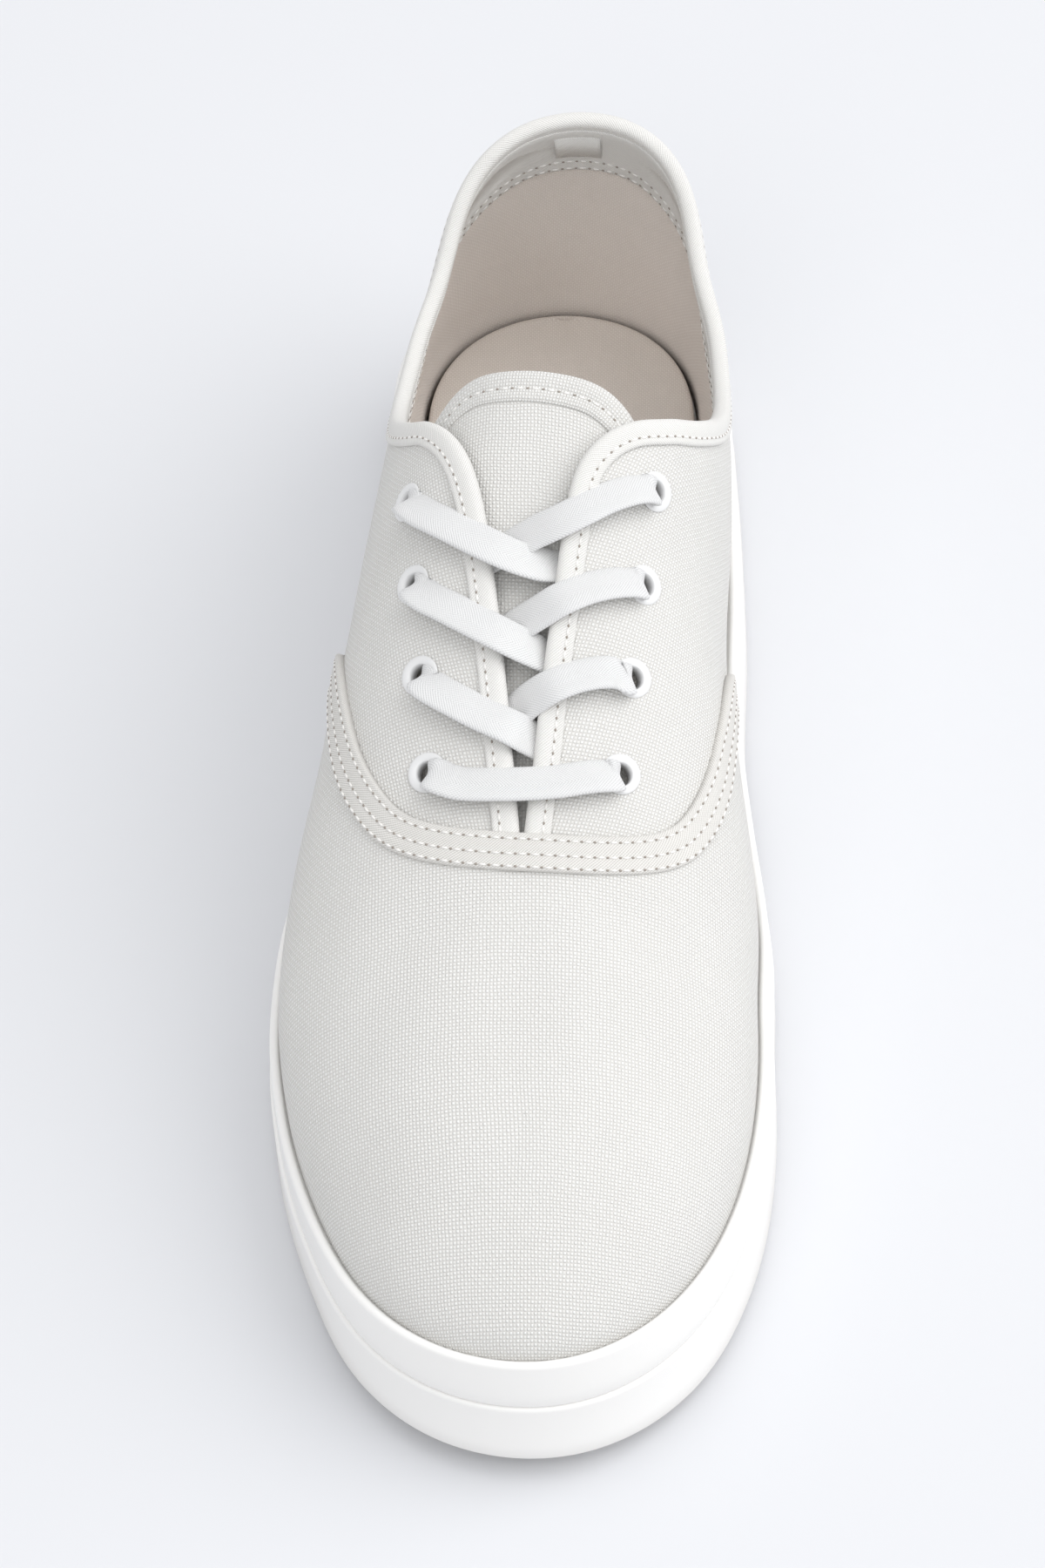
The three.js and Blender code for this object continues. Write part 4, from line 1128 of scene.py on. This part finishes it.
nearest = np.array([np.argmin(np.linalg.norm(line - point, axis=1)) for point in fine_line])
tape_s, tape_t = settle(fine_line, across_s[nearest], across_t[nearest])
tape_run = length_along(fine_line)
along_tape = unit(np.gradient(last(tape_s, tape_t), axis=0))
ahead_of_seam = np.cross(along_tape, normal(tape_s, tape_t))
if ahead_of_seam[len(ahead_of_seam) // 2][1] > 0:
    ahead_of_seam = -ahead_of_seam
tape_top = vamp_layer + gap + tape_thickness - 0.15
tape_section = [
    (0.0, 0.0), (-0.05, tape_top - 0.5), (0.12, tape_top - 0.12), (0.5, tape_top),
    (1.3, tape_top - 0.10), (2.2, tape_top + 0.06), (3.4, tape_top + 0.06), (4.3, tape_top - 0.10),
    (5.2, tape_top + 0.04), (6.1, tape_top + 0.02), (6.8, tape_top - 0.10),
    (7.15, tape_top - 0.12), (tape_width, tape_top - 0.45), (tape_width, 0.3), (3.7, 0.2),
]
strip("vamp_tape_twill", tape_s, tape_t, tape_run, ahead_of_seam, tape_section,
      tape_twill, ["vamp_tape"])
for number, distance in enumerate((1.3, 4.3, 6.8)):
    stitches(f"tape_stitches_{number + 1}", tape_s, tape_t, ahead_of_seam, distance,
             tape_top - 0.02, 2.5)

# %% [markdown]
# Binding is a folded strip of the same cotton, sewn over the raw edge of the collar and of both
# flaps: it shows for 4 mm outside, goes over the edge, and comes back inside. A curve with a bevel
# could follow that edge, but it wouldn't lie flat on the cloth, so the binding is a strip too. It
# runs in one piece up one flap, round the collar and down the other, as it's sewn.

# %% Binding
binding_width, binding_thickness = 4.3, 0.8
cut_from = way_of(np.array([throat_start + throat_line["back"][0] + 0.4]))[0]
order = np.concatenate([np.where(upper_s >= 2 - cut_from)[0], np.where(upper_s <= cut_from)[0][1:]])
edge_s = np.concatenate([upper_s[upper_s >= 2 - cut_from] - 2, upper_s[upper_s <= cut_from][1:]])
edge_turns = edge_t[order]
edge_line = last(edge_s, edge_turns)
run = length_along(edge_line)
at = spread(0, run[-1], int(run[-1]))
bind_s, bind_t = np.interp(at, run, edge_s), np.interp(at, run, edge_turns)
along_edge = steady(unit(np.gradient(last(bind_s, bind_t), axis=0)), 5)
into_cloth = np.cross(unit(along_edge), normal(bind_s, bind_t))
if into_cloth[len(into_cloth) // 2][2] > 0:
    into_cloth = -into_cloth
proud = gap + binding_thickness - 0.1
inside = -wall - binding_thickness + 0.1
binding_section = [
    (binding_width, 0.1), (binding_width, proud - 0.45), (binding_width - 0.3, proud - 0.08),
    (3.4, proud - 0.12), (2.75, proud - 0.22), (2.1, proud - 0.05), (1.3, proud), (0.5, proud - 0.02),
    (-0.25, proud - 0.25), (-0.75, proud - 0.85), (-0.85, -wall / 2), (-0.7, inside + 0.8),
    (-0.25, inside + 0.25), (0.5, inside), (2.4, inside), (3.8, inside + 0.1), (4.1, inside + 0.6),
    (2.0, -wall / 2),
]
strip("edge_binding_twill", bind_s, bind_t, at, into_cloth, binding_section, binding_twill,
      ["binding"])
stitches("binding_stitches", bind_s, bind_t, into_cloth, 2.75, proud - 0.16, 2.3)

# %% [markdown]
# Inside the heel a wider band of the same cotton faces the collar, with two rows of stitches at
# its lower edge. A plain patch is sewn on it at the very back. Both are strips on the part of the
# binding's own line that goes round the heel, set below the lining's face.

# %% Heel facing
facing = np.abs(bind_s) < way_of(np.array([38.0]))[0]
face_s, face_t, face_run = bind_s[facing], bind_t[facing], at[facing]
face_into = into_cloth[facing]
face_depth, patch_half = 18.5, 6.5
lining_top = -wall - 0.05
facing_section = [
    (1.8, inside + 0.2), (1.8, inside - 0.10), (2.2, inside - 0.28), (4.3, inside - 0.24),
    (6.5, lining_top - 0.72), (9.0, lining_top - 0.62),
    (face_depth - 3.4, lining_top - 0.5), (face_depth - 2.0, lining_top - 0.62),
    (face_depth - 0.9, lining_top - 0.5), (face_depth - 0.25, lining_top - 0.5),
    (face_depth, lining_top - 0.2), (face_depth, lining_top + 0.1),
]
strip("heel_facing_twill", face_s, face_t, face_run, face_into, facing_section, binding_twill)
middle = np.abs(face_run - face_run.mean()) < patch_half
patch_section = [(4.6, lining_top - 0.5), (4.7, lining_top - 1.1), (12.6, lining_top - 1.0),
                 (12.7, lining_top - 0.5)]
strip("heel_patch_twill", face_s[middle], face_t[middle], face_run[middle], face_into[middle],
      patch_section, binding_twill)
for number, distance in enumerate((face_depth - 3.4, face_depth - 0.9)):
    stitches(f"facing_stitches_{number + 1}", face_s, face_t, face_into, distance,
             lining_top - 0.55, 2.9)

# %% [markdown]
# The tongue is a curved sheet of canvas under the flaps. In front it lies right under them, and
# farther back a little lower, which leaves room for the lace. It could be cut from a copy of the
# last, but its rounded top is easier to draw from above: a grid between its front and that line,
# each point of it carried down to the last.

# %% Tongue
tongue_half, tongue_drop, tongue_thickness = 29.0, 2.6, 2.0
tongue_front = throat_start - 10.0
# Top edge of the tongue from the outer to the inner side, seen from above
tongue_top = table(
    "across back",
    (-26.3, 26.0), (-25.4, 34.0), (-23.5, 39.0), (-20.0, 43.0), (-15.0, 45.0), (-9.0, 44.4),
    (-2.6, 43.0), (3.7, 42.4), (10.9, 41.2), (17.1, 39.6), (22.0, 37.4), (26.8, 33.5), (30.0, 28.0),
    (31.7, 20.0),
)
across = np.sin(spread(-math.pi / 2, math.pi / 2, 61)) * tongue_half
top_edge = smooth(tongue_top, "across", "back", throat_shift + across)
up_share = np.sin(spread(0, math.pi / 2, 60))[:, None]
tongue_y = tongue_front + (top_edge - tongue_front)[None] * up_share
tongue_x = throat_shift + across[None] * (0.75 + 0.25 * up_share)


def tongue_depth(y):
    """Depth of the tongue's face under the last: right under the flaps in front, lower behind."""
    share = np.clip((y - tongue_front) / 20.0, 0, 1)
    return -wall - gap - (tongue_drop - gap) * share * share * (3 - 2 * share)


tongue_s, tongue_t = over(tongue_x, tongue_y)
tongue_points = skin(tongue_s, tongue_t, tongue_depth(tongue_y))
middle = len(across) // 2
cloth_x = np.array([length_along(row) for row in tongue_points])
cloth_x -= cloth_x[:, middle:middle + 1]
cloth_y = np.broadcast_to(length_along(tongue_points[:, middle])[:, None], cloth_x.shape)
tongue = grid_piece("tongue_canvas", tongue_points, duck,
                    np.stack([cloth_x, cloth_y], -1), replaces=["tongue"])
thicken(tongue, tongue_thickness)

# %% [markdown]
# The top edge of the tongue is turned over and stitched down. A strip with a rounded section follows
# the tongue's outline, and goes on a little way down its sides, under the flaps.

# %% Turned edge of the tongue
outline_x = throat_shift + spread(-1, 1, 400) * (tongue_half - 0.2)
outline = np.stack([outline_x, smooth(tongue_top, "across", "back", outline_x)], -1)


def tongue_side(side, back):
    """The tongue's side edge, from under the flap up to the corner of its top."""
    up_side = spread(0.55, 0.99, 60)
    side_x = throat_shift + side * (tongue_half - 0.2) * (0.75 + 0.25 * up_side)
    return np.stack([side_x, tongue_front + (back - tongue_front) * up_side], -1)


sides = tongue_side(-1, outline[0, 1]), tongue_side(1, outline[-1, 1])[::-1]
outline = np.concatenate([sides[0], outline, sides[1]])
outline = steady(even(outline, 0.9)[1], 11, "reflect")
edge_at, outline = even(outline, 0.9)
rim_s, rim_t = over(outline[:, 0], outline[:, 1])
rim_way = unit(np.gradient(last(rim_s, rim_t), axis=0))
rim_in = np.cross(rim_way, normal(rim_s, rim_t))
if rim_in[len(rim_in) // 2][1] > 0:
    rim_in = -rim_in
rim_section = [
    (6.2, -0.3), (6.2, 0.25), (6.0, 0.45), (5.0, 0.55), (4.1, 0.50), (3.5, 0.34), (2.9, 0.50),
    (1.6, 0.62), (0.4, 0.55), (-0.3, 0.2), (-0.6, -0.5), (-0.6, -1.6), (-0.2, -2.3), (0.6, -2.4),
    (2.6, -2.3), (2.8, -0.4),
]
rim_depth = tongue_depth(outline[:, 1])
strip("tongue_edge_twill", rim_s, rim_t, edge_at, rim_in, rim_section, duck,
      extra=rim_depth)
stitches("tongue_stitches", rim_s, rim_t, rim_in, 3.5, rim_depth + 0.42, 3.1)

# %% [markdown]
# Eyelets are rings stamped from sheet brass and enamelled white. Each is spun from its section:
# a rolled flange outside and a barrel through the canvas. A torus would do for the flange, but it
# has no barrel, and the lace's holes would look empty inside.

# %% Eyelets
bore, flange, metal, barrel_end = 4.4, 8.0, 0.6, -wall - 0.4
rolled_middle, rolled_half, rolled_height = (bore + flange) / 4 + 0.1, 0.82, 0.30
eyelet_section = [(bore / 2, barrel_end), (bore / 2 + 0.05, -0.5), (bore / 2 + 0.18, 0.25)]
for turn in np.radians(spread(150, -10, 9)):
    eyelet_section.append((rolled_middle + rolled_half * math.cos(turn),
                           0.10 + rolled_height * math.sin(turn)))
eyelet_section += [(flange / 2, 0.02), (flange / 2 - 0.3, -0.05), (bore / 2 + metal, -0.1),
                   (bore / 2 + metal, barrel_end)]
for row in range(eyelet_rows):
    for side, word in ((-1, "outer"), (1, "inner")):
        centre, up_way = eyelet_centres[row, side], eyelet_ups[row, side]
        ring_mesh = bmesh.new()
        profile = [ring_mesh.verts.new((radius * MM, 0, height * MM))
                   for radius, height in eyelet_section]
        edges = [ring_mesh.edges.new(pair) for pair in zip(profile, profile[1:] + profile[:1])]
        bmesh.ops.spin(ring_mesh, geom=profile + edges, cent=(0, 0, 0), axis=(0, 0, 1),
                       angle=2 * math.pi, steps=36, use_merge=True)
        bmesh.ops.remove_doubles(ring_mesh, verts=ring_mesh.verts, dist=1e-6)
        bmesh.ops.recalc_face_normals(ring_mesh, faces=ring_mesh.faces)
        turned = Vector(up_way).to_track_quat("Z", "Y").to_matrix().to_4x4()
        bmesh.ops.transform(ring_mesh, verts=ring_mesh.verts,
                            matrix=Matrix.Translation(Vector((centre + shift) * MM)) @ turned)
        finish(f"eyelet_ring_{word}_{row + 1}", ring_mesh, enamel,
               [f"eyelet_{word}_{row + 1}"])

# %% [markdown]
# One flat cotton lace runs through all the eyelets. From each eyelet it goes over its own flap,
# across the gap, and under the other flap up to the next eyelet. Its route is a list of stops,
# each a place seen from above and a height over the last. A flat lace keeps its width square to
# its way, and is pinched where it goes through a hole.

# %% Route of the lace
lace_width, lace_thickness = 7.8, 1.2
over_flap, under_flap = 1.95, -3.3
# Places between one eyelet and the next, seen from above: first the outer strands, then the inner
outer_strands = {
    3: [(-16.0, 16.4), (-9.0, 10.7), (-2.7, 6.8), (3.0, 4.8), (8.0, 4.8), (15.0, 4.6)],
    2: [(-14.6, -0.6), (-7.5, -5.6), (-1.1, -9.3), (4.0, -11.2), (8.0, -11.9), (15.0, -12.8)],
    1: [(-12.0, -18.8), (-5.6, -22.9), (0.4, -25.8), (4.3, -27.2), (8.0, -28.5), (14.0, -30.5)],
}
inner_strands = {
    3: [(22.0, 20.6), (17.2, 17.4), (13.0, 14.4), (8.7, 12.0), (4.3, 10.4), (0.0, 8.6), (-5.0, 7.0),
        (-12.0, 5.2)],
    2: [(19.7, 2.6), (14.3, 0.2), (9.5, -2.4), (5.2, -4.6), (1.0, -6.4), (-4.0, -9.0), (-10.0, -12.0)],
    1: [(18.2, -14.4), (12.8, -16.1), (8.2, -18.2), (4.1, -20.2), (1.0, -22.0), (-4.0, -25.0),
        (-9.0, -29.0)],
}
bar = [(15.2, -34.0), (8.8, -35.6), (1.3, -36.2), (-7.0, -35.8), (-11.0, -34.6)]


def lace_height(x, y, side):
    """Over its own flap, down through the gap, under the other flap."""
    own, other = throat_half(y, side) - 0.8, throat_half(y, -side) - 0.8
    past = (x - throat_shift) * -side + own
    share = np.clip((past + 1.6) / (own + other + 3.2), 0, 1)
    fall = share * share * (3 - 2 * share)
    return over_flap + (under_flap - over_flap) * fall ** (1.9 if side < 0 else 0.62)


def hole_stops(row, side):
    """Up through an eyelet, on the throat's side of the hole."""
    x, y = eyelet_centres[row, side][:2]
    steep = 2.2 if side < 0 and row > 0 else 1.0
    return [(x - side * 0.7, y, -3.2, 0.55), (x - side * 0.8, y - 0.1, -0.9, 0.52),
            (x - side * 1.0, y - 0.4 * steep, 0.55, 0.74), (x - side * 2.0, y - 1.1 * steep, 1.55, 0.98)]


def strand(row, side):
    """From an eyelet to the other side's next one towards the toe."""
    places = (outer_strands if side < 0 else inner_strands)[row]
    found = hole_stops(row, side)
    found += [(x, y, float(lace_height(x, np.array(y), side)), 1.0) for x, y in places]
    x, y = eyelet_centres[row - 1, -side][:2]
    return found + [(x + side * 2.5, y + 0.2, under_flap, 0.8)]


zig, zag = [], []
for row in (3, 2, 1):
    zig += strand(row, -1 if row % 2 else 1)
    zag += strand(row, 1 if row % 2 else -1)
across_front = hole_stops(0, 1) + [(x, y, over_flap, 1.0) for x, y in bar] + hole_stops(0, -1)[::-1]
route = np.array(zig + across_front + zag[::-1])
print("the lace has", len(route), "stops")


def catmull(points, per_span):
    """A smooth curve through points."""
    padded = np.concatenate([[2 * points[0] - points[1]], points, [2 * points[-1] - points[-2]]])
    found = []
    for i in range(len(points) - 1):
        a, b, c, d = padded[i:i + 4]
        for t in spread(0, 1, per_span + 1)[:-1]:
            found.append(0.5 * ((2 * b) + (c - a) * t + (2 * a - 5 * b + 4 * c - d) * t * t
                                + (3 * b - a - 3 * c + d) * t ** 3))
    found.append(points[-1])
    return np.array(found)


dense = catmull(route, 7)
lace_s, lace_t = over(dense[:, 0], dense[:, 1])
lace_line = skin(lace_s, lace_t, dense[:, 2])
flat_way = np.gradient(dense[:, :2], axis=0)
plan = np.stack([-flat_way[:, 1], flat_way[:, 0]], -1) * np.sign(flat_way[:, :1])
plan = plan / np.maximum(np.linalg.norm(plan, axis=1, keepdims=True), 1e-9)
calm = np.linalg.norm(flat_way, axis=1) > 0.15
plan[~calm] = (0.0, 1.0)
plan = steady(plan, 15)
tangent = unit(np.gradient(lace_line, axis=0))
aside = np.concatenate([plan, np.zeros((len(plan), 1))], 1)
aside = aside - (aside * tangent).sum(-1, keepdims=True) * tangent
aside = unit(aside)
outer_face = np.cross(tangent, aside)

# %% [markdown]
# The lace itself is its flat section carried along the route. It is narrower and a little thicker where
# it's squeezed through a hole. A curve with a bevel would twist on the bends, so each ring of the
# section is turned one by one: flat on the shoe, and square to its way.

# %% Lace
half_width, half_thick = lace_width / 2, lace_thickness / 2
upper_face = [(-1.0, 0.0), (-0.96, 0.62), (-0.82, 0.92), (-0.5, 1.0), (0.0, 1.0), (0.5, 1.0),
              (0.82, 0.92), (0.96, 0.62)]
lace_section = upper_face + [(-across, -thick) for across, thick in upper_face] + upper_face[:1]
widths = np.clip(dense[:, 3], 0.45, 1.0)
lace_run = length_along(lace_line)
lace_rows, lace_cloth = [], []
for across_share, thick_share in lace_section:
    thick = half_thick * (1 + 0.5 * (1 - widths))
    lace_rows.append(lace_line + aside * (across_share * half_width * widths)[:, None]
                     + outer_face * (thick_share * thick)[:, None])
    lace_cloth.append(np.stack([lace_run, across_share * half_width + half_width + 0 * lace_run], -1))
lace_cloth = np.array(lace_cloth)
lace_cloth = np.concatenate([lace_cloth[:, :1], lace_cloth, lace_cloth[:, -1:]], 1)
grid_piece("lace_flat_braid", pointed(np.array(lace_rows)), braid, lace_cloth, True,
           ["lace_bar", "lace_crossing_1", "lace_crossing_2", "lace_crossing_3"])
print("length of lace", round(lace_run[-1]), "mm")

# %% [markdown]
# The shoe stands on pale paper, very slightly cool. A wide soft light comes from the right and above,
# as from a window, and weaker ones from above and from the front. A bright sky all round fills the
# shadows, so that they stay faint, as in a light studio.

# %% Floor and light
floor_colour = "dedfe2"
floor_mesh = bmesh.new()
bmesh.ops.create_grid(floor_mesh, x_segments=1, y_segments=1, size=6.0)
floor_data = bpy.data.meshes.new("floor")
floor_mesh.to_mesh(floor_data)
floor_mesh.free()
floor = bpy.data.objects.new("floor", floor_data)
bpy.context.scene.collection.objects.link(floor)
paper, _, _ = new_material("matt_paper_floor", 0.9, floor_colour, 0.2)
floor_data.materials.append(paper)
floor.location.z = -0.0002


def area_light(name, place, target, size, power):
    """A round lamp. size: across, in metres. power: in watts."""
    light = bpy.data.objects.new(name, bpy.data.lights.new(name, "AREA"))
    light.data.shape = "DISK"
    light.data.size, light.data.energy = size, power
    bpy.context.scene.collection.objects.link(light)
    light.location = place
    light.rotation_euler = (Vector(target) - Vector(place)).to_track_quat("-Z", "Y").to_euler()


area_light("window_right", (1.95, 0.2, 2.1), (0, 0, 0.05), 3.2, 53)
area_light("sky_above", (-0.3, 0.4, 2.6), (0, 0, 0.05), 2.6, 8)
area_light("fill_front", (-0.4, -1.5, 2.2), (0, 0.05, 0.05), 2.0, 14)
world = bpy.data.worlds.new("soft_room")
bpy.context.scene.world = world
world.use_nodes = True
world.node_tree.nodes["Background"].inputs["Color"].default_value = linear("fafbfd")
world.node_tree.nodes["Background"].inputs["Strength"].default_value = 0.66
bpy.context.scene.view_settings.view_transform = "Standard"

# %% [markdown]
# The dressed shoe should be as large as the solids, apart from the lace and the tongue's turned edge.

# %% Update the scene
bpy.context.view_layer.update()
